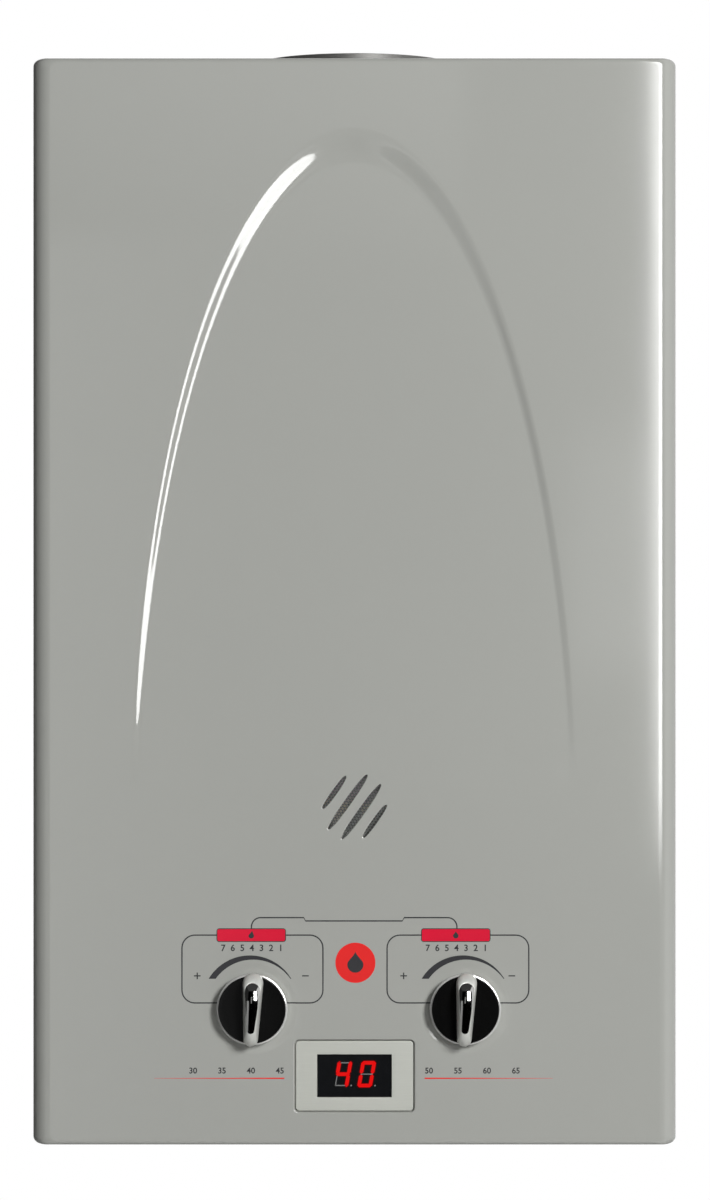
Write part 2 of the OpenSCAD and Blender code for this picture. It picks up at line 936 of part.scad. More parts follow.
// Collar for the flue pipe: a flange on the hood, a plain tube and a rolled rim
module flue_collar() {
    z = hood_top_z;
    rim_z = half_h + flue_rise;
    inner = flue_r - flue_wall;
    color("#8f9294")
        translate([0, flue_y, 0])
            difference() {
                union() {
                    translate([0, 0, z])
                        cylinder(h = rim_z - z, r = flue_r - move_gap, $fn = 96);
                    translate([0, 0, z])
                        cylinder(h = flue_flange_t, r = flue_r + flue_flange_w, $fn = 96);
                }
                translate([0, 0, z - cut])
                    cylinder(h = rim_z - z + 2 * cut, r = inner, $fn = 96);
            }
}

// Disc thermostat on its eared plate, standing on the XY plane
module disc_sensor() {
    translate([-disc_ear_w / 2, -disc_ear_h / 2, 0])
        cube([disc_ear_w, disc_ear_h, disc_ear_t]);
    cylinder(h = disc_t, r = disc_r);
    for (side = [-1, 1])
        translate([side * disc_r / 2 - disc_tab_w / 2, -disc_tab_w, disc_t])
            cube([disc_tab_w, 2 * disc_tab_w, disc_t]);
}

// Spill sensor on the front of the hood's neck
module spill_sensor() {
    color("#d9d3c4")
        translate([0, core_front, (hood_z + hood_top_z) / 2])
            rotate([90, 0, 0])
                disc_sensor();
}

// Overheat sensor on the side of the combustion chamber, behind the coil's climb
module overheat_sensor() {
    color("#d9d3c4")
        translate([core_x, (climb_y + tube_r + core_rear) / 2, (coil_high_z + block_z) / 2])
            rotate([0, 90, 0])
                rotate(90)
                    disc_sensor();
}

// Sheet frame of the finned block, with the holes that its tubes pass
module block_shell() {
    color(copper)
        difference() {
            block([-core_x, core_front, block_z], [core_x, core_rear, hood_z]);
            block(
                [core_wall - core_x, core_front + core_wall, block_z - cut],
                [core_x - core_wall, core_rear - core_wall, hood_z + cut]
            );
            for (i = [0:pass_count - 1])
                rod_x(-core_x - cut, core_x + cut, first_pass_y + i * pass_pitch, pass_z, tube_r);
        }
}

// Stack of thin fins brazed on the tubes, each with a row of notches
module block_fins() {
    reach = core_x - core_wall - fin_gap - fin_t;
    color(copper)
        difference() {
            for (i = [0:fin_count - 1])
                translate([reach * (2 * i / (fin_count - 1) - 1), core_y, pass_z])
                    cube(
                        [fin_t, core_d - 2 * core_wall - 2 * fin_gap, block_h - 2 * fin_margin],
                        center = true
                    );
            for (i = [0:pass_count - 1])
                rod_x(-core_x, core_x, first_pass_y + i * pass_pitch, pass_z, tube_r);
            for (i = [0:pass_count - 2])
                translate([0, first_pass_y + (i + 0.5) * pass_pitch, block_z + fin_margin])
                    rotate([45, 0, 0])
                        cube([core_w, tube_r, tube_r], center = true);
        }
}

// One water tube that passes the fins back and forth
module block_tubes() {
    right = pass_end_x;
    first_left = -right;
    color(copper)
        for (i = [0:pass_count - 1]) {
            y = first_pass_y + i * pass_pitch;
            side = i % 2 == 0 ? 1 : -1;
            rod_x(-right, right, y, pass_z, tube_r);
            if (i < pass_count - 1)
                translate([side * right, y + bend_r, pass_z])
                    rotate(side > 0 ? -90 : 90)
                        rotate_extrude(angle = 180)
                            translate([bend_r, 0])
                                circle(tube_r);
        }
}

// Open copper box over the burner
module combustion_chamber() {
    color(copper)
        difference() {
            block([-core_x, core_front, chamber_z], [core_x, core_rear, block_z]);
            block(
                [core_wall - core_x, core_front + core_wall, chamber_z - cut],
                [core_x - core_wall, core_rear - core_wall, block_z + cut]
            );
            for (x = concat(electrode_xs, [sensor_x]))
                rod_y(core_front - cut, core_front + core_wall + cut, x, chamber_z + electrode_up, ceramic_r);
        }
}

// The water pipe that winds round the chamber and climbs to the block's rear tube
module chamber_coil() {
    color(copper)
        pipe(
            [
                [coil_x, riser_y, chamber_z],
                [coil_x, riser_y, coil_low_z],
                [coil_x, coil_front_y, coil_low_z],
                [-coil_x, coil_front_y, coil_low_z],
                [-coil_x, coil_rear_y, coil_low_z],
                [coil_x, coil_rear_y, coil_low_z],
                [coil_x, climb_y, coil_low_z],
                [coil_x, climb_y, coil_high_z],
                [coil_x, coil_front_y, coil_high_z],
                [-coil_x, coil_front_y, coil_high_z],
                [-coil_x, last_pass_y, coil_high_z],
                [-coil_x, last_pass_y, pass_z]
            ],
            coil_bend,
            tube_r
        );
}

// Pipe from the block's front tube down to the hot outlet
module hot_pipe() {
    color(copper)
        pipe(
            [
                [-pass_end_x, first_pass_y, pass_z],
                [hot_x, first_pass_y, pass_z],
                [hot_x, first_pass_y, hot_turn_z],
                [hot_x, pipe_y, hot_turn_z],
                [hot_x, pipe_y, plate_low + fold_h]
            ],
            coil_bend,
            tube_r
        );
}

// Pipe from the water valve up to the coil
module cold_pipe() {
    color(copper)
        pipe(
            [
                [water_x + water_half_w + outlet_len, outlet_y, outlet_z],
                [coil_x, outlet_y, outlet_z],
                [coil_x, outlet_y, chamber_z]
            ],
            coil_bend,
            tube_r
        );
}

// Probe clipped to the hot pipe
module temperature_probe() {
    z = burner_z;
    y = first_pass_y - tube_r - probe_r;
    color(black_plastic) {
        rod_z(z, z + probe_len, hot_x, y, probe_r);
        difference() {
            rod_z(z + probe_len / 3, z + 2 * probe_len / 3, hot_x, first_pass_y, tube_r + plate_t);
            rod_z(z, z + probe_len, hot_x, first_pass_y, tube_r);
            rod_z(z, z + probe_len, hot_x, y, probe_r);
        }
    }
}

// Threaded end of a pipe, bored through, with a wider shank and a flange on the shelf
module threaded_end(x, top_z, bore_r) {
    difference() {
        union() {
            rod_z(pipe_end_z, top_z, x, pipe_y, thread_r);
            rod_z(pipe_end_z + thread_len, plate_low + 2 * plate_t, x, pipe_y, shank_r);
            rod_z(plate_low + plate_t, plate_low + 3 * plate_t, x, pipe_y, shank_r + shank_flange_w);
        }
        rod_z(pipe_end_z - cut, top_z - 2 * plate_t, x, pipe_y, bore_r);
    }
}

module hot_outlet() {
    color(brass)
        threaded_end(hot_x, plate_low + fold_h, tube_r);
}

module water_inlet() {
    color(brass)
        threaded_end(water_x, water_low, thread_r - pipe_wall);
}

module gas_inlet() {
    color(brass)
        threaded_end(gas_x, gas_low, thread_r - pipe_wall);
}

// Hexagon nuts that hold the three pipe ends to the shelf
module pipe_nuts() {
    color(brass)
        for (x = [hot_x, gas_x, water_x])
            difference() {
                translate([x, pipe_y, plate_low - nut_h])
                    cylinder(h = nut_h, r = nut_r, $fn = 6);
                rod_z(plate_low - nut_h - cut, plate_low + cut, x, pipe_y, shank_r);
            }
}

// Sheet frame of the burner, with a row of openings for the bars' mouths
module burner_frame() {
    color(zinc)
        difference() {
            block([-core_x, core_front, burner_z], [core_x, core_rear, chamber_z]);
            block(
                [frame_wall - core_x, core_front + frame_wall, burner_z - cut],
                [core_x - frame_wall, core_rear - frame_wall, chamber_z + cut]
            );
            block(
                [3 * frame_wall - core_x, core_front - cut, burner_z - cut],
                [core_x - 3 * frame_wall, core_front + frame_wall + cut, chamber_z - frame_skirt]
            );
        }
}

function bar_x(i) = (i - (bar_count - 1) / 2) * bar_pitch;

// A burner bar from the side: a mouth in front, a rising body and a flat flame port on top
module bar_outline() {
    front = core_front + frame_wall;
    rear = core_rear - frame_wall - bar_margin;
    low = burner_z + manifold_up - bar_foot / 2;
    high = chamber_z - bar_top_gap;
    polygon([
        [front, low],
        [front + bar_foot, low + bar_foot / 4],
        [rear - bar_foot, low + bar_foot / 4],
        [rear, low + bar_foot],
        [rear, high],
        [front + bar_margin, high],
        [front + bar_margin, low + 2 * bar_foot],
        [front, low + bar_foot]
    ]);
}

module burner_bars() {
    slot_gap = (core_d - 4 * bar_foot) / (bar_slots - 1);
    color(dark_steel)
        for (i = [0:bar_count - 1])
            difference() {
                side_slab(bar_x(i) - bar_t / 2, bar_x(i) + bar_t / 2)
                    bar_outline();
                rod_y(core_front, core_front + bar_foot, bar_x(i), manifold_z, mouth_r);
                for (k = [0:bar_slots - 1])
                    translate([bar_x(i), core_front + 2 * bar_foot + k * slot_gap, chamber_z - bar_top_gap])
                        cube([bar_t / 2, bar_slot_w, bar_margin], center = true);
            }
    color(dark_steel)
        for (y = [core_front + 3 * bar_margin, core_rear - 4 * bar_margin])
            block(
                [frame_wall - core_x, y, burner_z + manifold_up + bar_foot],
                [core_x - frame_wall, y + frame_wall, burner_z + manifold_up + 2 * bar_foot]
            );
}

// Gas rail across the burner's front, closed at both ends, with two feet between its last jets
module gas_manifold() {
    reach = bar_x(bar_count - 1) + bar_pitch / 2;
    foot_x = bar_x(bar_count - 1) - bar_pitch / 2;
    foot_half_w = bar_pitch / 2 - jet_hex_r - move_gap;
    color("#c9cbcc") {
        rod_x(-reach, reach, manifold_y, manifold_z, manifold_r);
        for (side = [-1, 1])
            translate([side * foot_x, manifold_y, manifold_z - manifold_r])
                block([-foot_half_w, 0, 0], [foot_half_w, core_front - manifold_y, 2 * manifold_r]);
    }
}

// One jet for each burner bar
module gas_jets() {
    start = manifold_y + manifold_r - jet_hex_t / 2;
    color(brass)
        difference() {
            for (i = [0:bar_count - 1]) {
                rod_y(start, start + 3 * jet_hex_t, bar_x(i), manifold_z, jet_r);
                translate([bar_x(i), start, manifold_z])
                    rotate([-90, 0, 0])
                        cylinder(h = jet_hex_t, r = jet_hex_r, $fn = 6);
            }
            rod_x(-core_x, core_x, manifold_y, manifold_z, manifold_r);
        }
}

// A ceramic pin through the chamber's wall, with a wire that bends down to the burner
module ceramic_pin(x) {
    y = core_front - ceramic_len / 2;
    z = chamber_z + electrode_up;
    tip_y = core_front + ceramic_len;
    rod_y(y, core_front + ceramic_len / 2, x, z, ceramic_r);
    pipe(
        [
            [x, core_front + ceramic_len / 2, z],
            [x, tip_y, z],
            [x, tip_y, chamber_z - bar_top_gap + bar_margin]
        ],
        2 * wire_r,
        wire_r
    );
}

module ignition_electrodes() {
    middle = (electrode_xs[0] + electrode_xs[1]) / 2;
    reach = electrode_xs[1] - electrode_xs[0] + mount_strip.x;
    color("#e8e6df")
        for (x = electrode_xs)
            ceramic_pin(x);
    color(zinc)
        difference() {
            block(
                [
                    middle - reach / 2,
                    core_front - mount_strip.y,
                    chamber_z + electrode_up - mount_strip.z / 2
                ],
                [middle + reach / 2, core_front, chamber_z + electrode_up + mount_strip.z / 2]
            );
            for (x = electrode_xs)
                rod_y(
                    core_front - mount_strip.y - cut, core_front + cut, x, chamber_z + electrode_up, ceramic_r
                );
        }
}

module flame_sensor() {
    color("#e8e6df")
        ceramic_pin(sensor_x);
    color(zinc)
        difference() {
            block(
                [
                    sensor_x - mount_strip.x / 2,
                    core_front - mount_strip.y,
                    chamber_z + electrode_up - mount_strip.z / 2
                ],
                [sensor_x + mount_strip.x / 2, core_front, chamber_z + electrode_up + mount_strip.z / 2]
            );
            rod_y(
                core_front - mount_strip.y - cut, core_front + cut,
                sensor_x, chamber_z + electrode_up, ceramic_r
            );
        }
}

// Pipe from the gas valve up to the rail
module gas_feed_pipe() {
    color("#c9cbcc")
        pipe(
            [
                [feed_x, valve_front_y, feed_z],
                [feed_x, manifold_y, feed_z],
                [feed_x, manifold_y, manifold_z - manifold_r]
            ],
            coil_bend,
            tube_r
        );
}

// A bore that a turning spindle runs in, with its mouth in the gland
module spindle_bore(x) {
    rod_y(valve_front_y - gland_len - cut, valve_front_y + spindle_depth, x, knob_z, spindle_r + shaft_gap);
}

// Cast body of the gas valve
module gas_valve() {
    x0 = gas_x - gas_half_w;
    x1 = gas_x + gas_half_w;
    color("#a9abac")
        difference() {
            union() {
                side_slab(x0, x1)
                    polygon([
                        [valve_front_y + valve_cut, gas_low],
                        [valve_rear_y - valve_cut, gas_low],
                        [valve_rear_y, gas_low + valve_cut],
                        [valve_rear_y, gas_high - valve_cut],
                        [valve_rear_y - valve_cut, gas_high],
                        [valve_front_y + valve_cut, gas_high],
                        [valve_front_y, gas_high - valve_cut],
                        [valve_front_y, gas_low + valve_cut]
                    ]);
                rod_y(valve_front_y - gland_len, valve_front_y + join, gas_x, knob_z, gland_r);
                rod_x(x1 - join, gas_face_x, rod_y_mid, knob_z, gas_boss_r);
                rod_y(valve_rear_y - join, -plate_t - rib_d, gas_x, knob_z, gland_r);
                for (z = [gas_low + gland_r, gas_high - gland_r])
                    rod_x(x0 - valve_cut, x0 + join, rod_y_mid, z, gland_r);
            }
            spindle_bore(gas_x);
            rod_x(gas_face_x - rod_seat, gas_face_x + cut, rod_y_mid, knob_z, rod_r + shaft_gap);
        }
}

// Solenoid that shuts the gas, on top of the valve
module gas_solenoid() {
    color(black_plastic) {
        rod_z(gas_high, gas_high + solenoid_len, solenoid_x, solenoid_y, solenoid_r);
        rod_z(gas_high + solenoid_len, gas_high + solenoid_len + cap_t, solenoid_x, solenoid_y, spindle_r);
    }
}

// Brass body of the water valve, with the outlet's neck and the drain's lug
module water_valve() {
    x0 = water_x - water_half_w;
    x1 = water_x + water_half_w;
    color(brass)
        difference() {
            union() {
                block([x0, valve_front_y, water_low], [x1, valve_rear_y, water_high]);
                rod_y(valve_front_y - gland_len, valve_front_y + join, water_x, knob_z, gland_r);
                rod_x(x1 - join, x1 + outlet_len, outlet_y, outlet_z, outlet_r);
                rod_y(valve_rear_y - join, -plate_t - rib_d, water_x, knob_z, gland_r);
                rod_z(water_low, water_low + outlet_len + drain_r, drain_x, drain_y, drain_lug_r);
            }
            spindle_bore(water_x);
            rod_z(water_low - cut, water_low + drain_thread, drain_x, drain_y, drain_r + shaft_gap);
        }
}

// Round housing of the water diaphragm, with its screw flange
module diaphragm_housing() {
    middle = drum_x - drum_t / 2;
    color(brass)
        difference() {
            union() {
                rod_x(drum_x - drum_t, drum_x, rod_y_mid, knob_z, drum_r);
                rod_x(
                    middle - drum_flange_t / 2, middle + drum_flange_t / 2, rod_y_mid, knob_z, drum_flange_r
                );
                rod_x(drum_face_x, drum_x - drum_t + join, rod_y_mid, knob_z, drum_boss_r);
            }
            rod_x(
                drum_face_x - cut, drum_face_x + rod_seat + rod_travel, rod_y_mid, knob_z, rod_r + shaft_gap
            );
        }
}

module diaphragm_screws() {
    x = drum_x - drum_t / 2 - drum_flange_t / 2;
    ring = (drum_r + drum_flange_r) / 2;
    color(zinc)
        for (i = [0:drum_screws - 1])
            translate([x, rod_y_mid, knob_z])
                rotate([0, -90, 0])
                    rotate(360 / drum_screws * (i + 0.5))
                        translate([ring, 0, 0])
                            screw_head(drum_screw_r, drum_screw_r);
}

// Drain plug with a winged head under the shelf
module drain_plug() {
    head_z = plate_low - drain_head_h;
    color(black_plastic) {
        rod_z(plate_low, water_low + drain_thread - shaft_gap, drain_x, drain_y, drain_r);
        rod_z(head_z + drain_head_h / 2, plate_low, drain_x, drain_y, drain_head_r);
        translate([drain_x, drain_y, head_z + drain_head_h / 4])
            cube([2 * drain_r, drain_r / 2, drain_head_h / 2], center = true);
    }
}

// Rod from the diaphragm to the gas valve, with the collar that the spring bears on
module push_rod() {
    color(zinc) {
        rod_x(
            gas_face_x - rod_seat + rod_travel + move_gap, drum_face_x + rod_seat, rod_y_mid, knob_z, rod_r
        );
        rod_x(collar_x, collar_x + collar_t, rod_y_mid, knob_z, collar_r);
    }
}

// A point of the spring's wire: turn along the coil and side round the wire
function spring_point(k, j) =
    let(
        turn = k / spring_steps,
        low = gas_face_x + move_gap + spring_wire_r,
        high = collar_x - spring_wire_r - move_gap,
        x = low + (high - low) * turn / spring_turns,
        swell = spring_r + spring_wire_r * cos(360 * j / spring_sides)
    )
    [
        x + spring_wire_r * sin(360 * j / spring_sides),
        rod_y_mid + swell * cos(360 * turn),
        knob_z + swell * sin(360 * turn)
    ];

// Return spring round the rod, between the gas valve and the collar
module return_spring() {
    rings = spring_turns * spring_steps;
    points = [for (k = [0:rings], j = [0:spring_sides - 1]) spring_point(k, j)];
    skin = [
        for (k = [0:rings - 1], j = [0:spring_sides - 1])
            let(
                a = k * spring_sides + j,
                b = k * spring_sides + (j + 1) % spring_sides,
                c = a + spring_sides,
                d = b + spring_sides
            )
            each [[a, b, c], [b, d, c]]
    ];
    last = rings * spring_sides;
    caps = [
        for (j = [1:spring_sides - 2])
            each [[0, j + 1, j], [last, last + j, last + j + 1]]
    ];
    color("#d0d2d3")
        polyhedron(points, concat(skin, caps));
}

lever_x = collar_x - move_gap;

// Switch over the rod, on an angle bracket from the wall plate
module valve_switch() {
    z = lever_z + switch_gap;
    y0 = rod_y_mid - switch_d / 2;
    color(black_plastic)
        difference() {
            block([lever_x - switch_w / 2, y0, z], [lever_x + switch_w / 2, y0 + switch_d, z + switch_h]);
            for (side = [-1, 1])
                rod_y(
                    y0 - cut, y0 + switch_d + cut,
                    lever_x + side * switch_w / 3, z + switch_h / 2, lever_pin_r
                );
        }
    color(zinc) {
        block(
            [lever_x - switch_w / 2, y0 + switch_d, z],
            [lever_x + switch_w / 2, -plate_t, z + switch_bracket_t]
        );
        block(
            [lever_x - switch_w / 2, y0 + switch_d, z],
            [lever_x + switch_w / 2, y0 + switch_d + switch_bracket_t, z + switch_h]
        );
        for (side = [0, 1])
            translate([lever_x, y0 + side * (switch_d - lever_t), lever_z])
                difference() {
                    block(
                        [-2 * lever_pin_r, 0, -2 * lever_pin_r],
                        [2 * lever_pin_r, lever_t, switch_gap]
                    );
                    rod_y(-cut, lever_t + cut, 0, 0, lever_pin_r);
                }
    }
}

module lever_pin() {
    y0 = rod_y_mid - switch_d / 2;
    color(zinc)
        rod_y(y0 - lever_t, y0 + switch_d + lever_t, lever_x, lever_z, lever_pin_r);
}

// Lever that the rod's collar swings against the switch
module switch_lever() {
    color("#d0d2d3")
        difference() {
            union() {
                rod_y(
                    rod_y_mid - lever_w / 2 + lever_t / 2, rod_y_mid + lever_w / 2 - lever_t / 2,
                    lever_x, lever_z, 2 * lever_pin_r
                );
                block(
                    [lever_x - lever_t, rod_y_mid - lever_w / 2 + lever_t / 2, lever_z - lever_arm],
                    [lever_x, rod_y_mid + lever_w / 2 - lever_t / 2, lever_z]
                );
            }
            rod_y(
                rod_y_mid - lever_w, rod_y_mid + lever_w,
                lever_x, lever_z, lever_pin_r + shaft_gap
            );
        }
}

// Ignition control in its plastic box, with three plug sockets below
module control_box() {
    left = -plate_x + plate_t + cover_gap;
    rear = -plate_t;
    color(grey_plastic)
        difference() {
            union() {
                translate([left + control_w / 2, 0, control_z + control_h / 2])
                    slab(rear - control_d, rear)
                        rounded_rect(control_w, control_h, control_r);
                block(
                    [left, rear - control_d - control_r, control_z + control_r],
                    [left + control_w, rear - control_d, control_z + control_h - control_r]
                );
            }
            for (i = [0:plug_count - 1])
                translate([left + control_w / 2, rear - control_d * (i + 0.5) / plug_count, control_z])
                    cube(
                        [control_w / 2, control_d / plug_count - 2 * control_r, control_h / 8], center = true
                    );
        }
}

// Box for two large cells, open below
module battery_box() {
    color(black_plastic) {
        difference() {
            block(
                [battery_left, battery_front_y, battery_low],
                [battery_right, battery_rear_y, battery_low + battery_box_h]
            );
            block(
                [battery_left + battery_wall, battery_front_y + battery_wall, battery_low - cut],
                [
                    battery_right - battery_wall,
                    battery_rear_y - battery_wall,
                    battery_low + battery_box_h - battery_wall
                ]
            );
        }
        block(
            [battery_left, battery_rear_y, battery_low + battery_box_h - battery_wall],
            [battery_right, -plate_t, battery_low + battery_box_h]
        );
        for (x = [battery_left, battery_right - 2 * lid_knuckle_r])
            difference() {
                union() {
                    rod_x(x, x + 2 * lid_knuckle_r, lid_pin_y, lid_pin_z, lid_knuckle_r);
                    block(
                        [x, battery_rear_y, battery_low],
                        [x + 2 * lid_knuckle_r, lid_pin_y, lid_pin_z + lid_knuckle_r]
                    );
                }
                rod_x(x - cut, x + 2 * lid_knuckle_r + cut, lid_pin_y, lid_pin_z, lid_pin_r);
            }
    }
}

// Two large cells side by side
module battery_cells() {
    first_x = battery_left + battery_wall + battery_gap + battery_r;
    y = battery_front_y + battery_wall + 2 * battery_gap;
    z = battery_low + battery_box_h - battery_wall - battery_gap - battery_r;
    color("#3d4a57")
        for (x = [first_x, first_x + 2 * battery_r + battery_gap])
            rod_y(y, y + battery_len, x, z, battery_r);
}

module lid_pin() {
    color(zinc)
        rod_x(battery_left, battery_right, lid_pin_y, lid_pin_z, lid_pin_r);
}

// Lid under the battery box: it swings down on its rear pin
module battery_lid() {
    x0 = battery_left + 2 * lid_knuckle_r + move_gap;
    x1 = battery_right - 2 * lid_knuckle_r - move_gap;
    z = lid_pin_z - lid_knuckle_r;
    color(black_plastic)
        difference() {
            union() {
                block(
                    [battery_left, battery_front_y, z],
                    [battery_right, battery_rear_y - move_gap, z + lid_t]
                );
                block([x0, battery_rear_y - battery_wall, z], [x1, lid_pin_y, z + lid_t]);
                rod_x(x0, x1, lid_pin_y, lid_pin_z, lid_knuckle_r);
                block(
                    [(x0 + x1 - latch_w) / 2, battery_front_y + battery_wall + move_gap, z + lid_t],
                    [(x0 + x1 + latch_w) / 2, battery_front_y + 2 * battery_wall, z + 3 * lid_t]
                );
            }
            rod_x(x0 - cut, x1 + cut, lid_pin_y, lid_pin_z, lid_pin_r + shaft_gap);
        }
}

// Spindle with a flat, from its valve out through the cover
module spindle(x) {
    front = knob_back_y - spindle_reach;
    rear = valve_front_y + spindle_depth - move_gap;
    color(zinc)
        difference() {
            rod_y(front, rear, x, knob_z, spindle_r);
            block(
                [x - spindle_r, front - cut, knob_z + spindle_flat],
                [x + spindle_r, valve_front_y - gland_len - move_gap, knob_z + spindle_r + cut]
            );
        }
}

// Black disc of a knob with the hub that grips its spindle
module knob_disc(x) {
    bore_r = spindle_r + shaft_gap;
    disc_r0 = knob_r - rim_w;
    color(black_plastic)
        difference() {
            translate([x, knob_back_y, knob_z])
                rotate([90, 0, 0])
                    rotate_extrude($fn = 96)
                        polygon([
                            [0, 0],
                            [disc_r0, 0],
                            [disc_r0, knob_t - disc_round],
                            [disc_r0 - disc_round * 0.3, knob_t - disc_round * 0.3],
                            [disc_r0 - disc_round, knob_t],
                            [0, knob_t]
                        ]);
            difference() {
                rod_y(knob_back_y - spindle_reach - move_gap, knob_back_y + cut, x, knob_z, bore_r);
                block(
                    [x - knob_r, knob_back_y - knob_t, knob_z + spindle_flat + shaft_gap],
                    [x + knob_r, knob_back_y + 2 * cut, knob_z + knob_r]
                );
            }
        }
}

// Bright ring round a knob's disc
module knob_rim(x) {
    color("#e2e3e2")
        difference() {
            rod_y(knob_back_y - knob_t + disc_round, knob_back_y, x, knob_z, knob_r);
            rod_y(knob_back_y - knob_t, knob_back_y + cut, x, knob_z, knob_r - rim_w);
        }
}

function between(a, b, share) = a + (b - a) * share;

// Bar grip across a knob: wide at its head, narrow at its foot, with flanks that lean in to a long crest
module knob_grip(x) {
    head = knob_r + grip_over - grip_w / 2;
    foot = knob_r + grip_over - grip_foot_w / 2;
    color("#e2e3e2")
        translate([x, knob_back_y - knob_t, knob_z])
            rotate([90, 0, 0])
                hull()
                    for (i = [0:len(grip_height_shares) - 1]) {
                        lean = grip_lean_shares[i];
                        height = grip_h * grip_height_shares[i];
                        translate([0, between(head, knob_r * crest_head_share, lean), 0])
                            cylinder(h = height, r = grip_w * between(0.5, crest_w_share, lean), $fn = 32);
                        translate([0, -between(foot, knob_r * crest_foot_share, lean), 0])
                            cylinder(
                                h = height, r = grip_foot_w * between(0.5, crest_foot_w_share, lean), $fn = 32
                            );
                    }
}

module gas_spindle() {
    spindle(gas_x);
}

module gas_knob_disc() {
    knob_disc(gas_x);
}

module gas_knob_rim() {
    knob_rim(gas_x);
}

module gas_knob_grip() {
    knob_grip(gas_x);
}

module water_spindle() {
    spindle(water_x);
}

module water_knob_disc() {
    knob_disc(water_x);
}

module water_knob_rim() {
    knob_rim(water_x);
}

module water_knob_grip() {
    knob_grip(water_x);
}

front_cover();
display_bezel();
display_window();
display_board();
vent_mesh();
rear_plate();
top_plate();
pipe_shelf();
core_brackets();
chassis_screws();
cover_screws();
draught_hood();
flue_collar();
spill_sensor();
block_shell();
block_fins();
block_tubes();
combustion_chamber();
chamber_coil();
overheat_sensor();
temperature_probe();
hot_pipe();
hot_outlet();
burner_frame();
burner_bars();
gas_manifold();
gas_jets();
ignition_electrodes();
flame_sensor();
gas_feed_pipe();
gas_valve();
gas_solenoid();
gas_inlet();
pipe_nuts();
water_valve();
diaphragm_housing();
diaphragm_screws();
water_inlet();
cold_pipe();
drain_plug();
push_rod();
return_spring();
valve_switch();
switch_lever();
lever_pin();
control_box();
battery_box();
battery_cells();
battery_lid();
lid_pin();
gas_spindle();
gas_knob_disc();
gas_knob_rim();
gas_knob_grip();
water_spindle();
water_knob_disc();
water_knob_rim();
water_knob_grip();
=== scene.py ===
"""Looks of a wall-hung tankless gas water heater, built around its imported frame.

Sizes are in millimetres in the frame's own axes: X to the right, Y into the wall, Z up.
A mesh is turned into metres when its piece is made.
"""

import logging
import math
from dataclasses import dataclass, field
from enum import Enum
from typing import Callable, Iterable, Optional, Sequence

import bmesh
import bpy
import numpy as np
from mathutils import Matrix, Vector
from mathutils.geometry import delaunay_2d_cdt


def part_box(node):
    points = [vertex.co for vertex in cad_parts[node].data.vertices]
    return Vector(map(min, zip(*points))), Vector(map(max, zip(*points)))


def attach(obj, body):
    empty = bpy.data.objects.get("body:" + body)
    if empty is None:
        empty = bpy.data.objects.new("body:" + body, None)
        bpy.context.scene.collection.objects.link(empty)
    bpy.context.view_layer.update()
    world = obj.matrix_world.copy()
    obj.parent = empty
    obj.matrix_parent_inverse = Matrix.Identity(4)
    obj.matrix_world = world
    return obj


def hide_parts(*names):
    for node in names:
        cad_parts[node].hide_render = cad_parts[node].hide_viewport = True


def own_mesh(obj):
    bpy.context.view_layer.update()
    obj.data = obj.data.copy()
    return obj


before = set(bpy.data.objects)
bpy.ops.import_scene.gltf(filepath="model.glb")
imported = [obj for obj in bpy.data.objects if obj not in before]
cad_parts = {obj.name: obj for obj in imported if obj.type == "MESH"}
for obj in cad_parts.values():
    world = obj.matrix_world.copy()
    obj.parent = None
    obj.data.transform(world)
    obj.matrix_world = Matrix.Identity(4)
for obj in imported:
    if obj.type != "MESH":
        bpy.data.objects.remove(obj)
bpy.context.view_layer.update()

LOG = logging.getLogger("water_heater")
MM = 0.001
TINY = 1e-6
NEAR = 1e-5
SLIVER = 1e-7

Colour = tuple[float, float, float]
Array = np.ndarray
Face = tuple[int, ...]
Socket = bpy.types.NodeSocket

DUST: Colour = (0.32, 0.3, 0.27)

QUARTER_TURN = np.radians([22.5, 45.0, 67.5, 90.0])
EDGE_CREASE = 35.0
ROUND_CREASE = 50.0
FLOAT = "NodeSocketFloat"
GEOMETRY = "NodeSocketGeometry"


@dataclass(frozen=True)
class Extent:
    """The box of a node of the frame, in millimetres."""

    low: Array
    high: Array

    @classmethod
    def of(cls, node: str) -> "Extent":
        """Read a node's box."""
        low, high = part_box(node)
        return cls(np.array(low) / MM, np.array(high) / MM)

    @property
    def middle(self) -> Array:
        """Give the box's centre."""
        return (self.low + self.high) / 2.0

    @property
    def half(self) -> Array:
        """Give half the box's size."""
        return (self.high - self.low) / 2.0


def unit(vectors: Array) -> Array:
    """Bring each row to unit length."""
    return vectors / np.maximum(np.linalg.norm(vectors, axis=-1, keepdims=True), TINY)


def smooth_step(t: Array) -> Array:
    """Ease from 0 to 1 with level ends."""
    t = np.clip(t, 0.0, 1.0)
    return t * t * (3.0 - 2.0 * t)


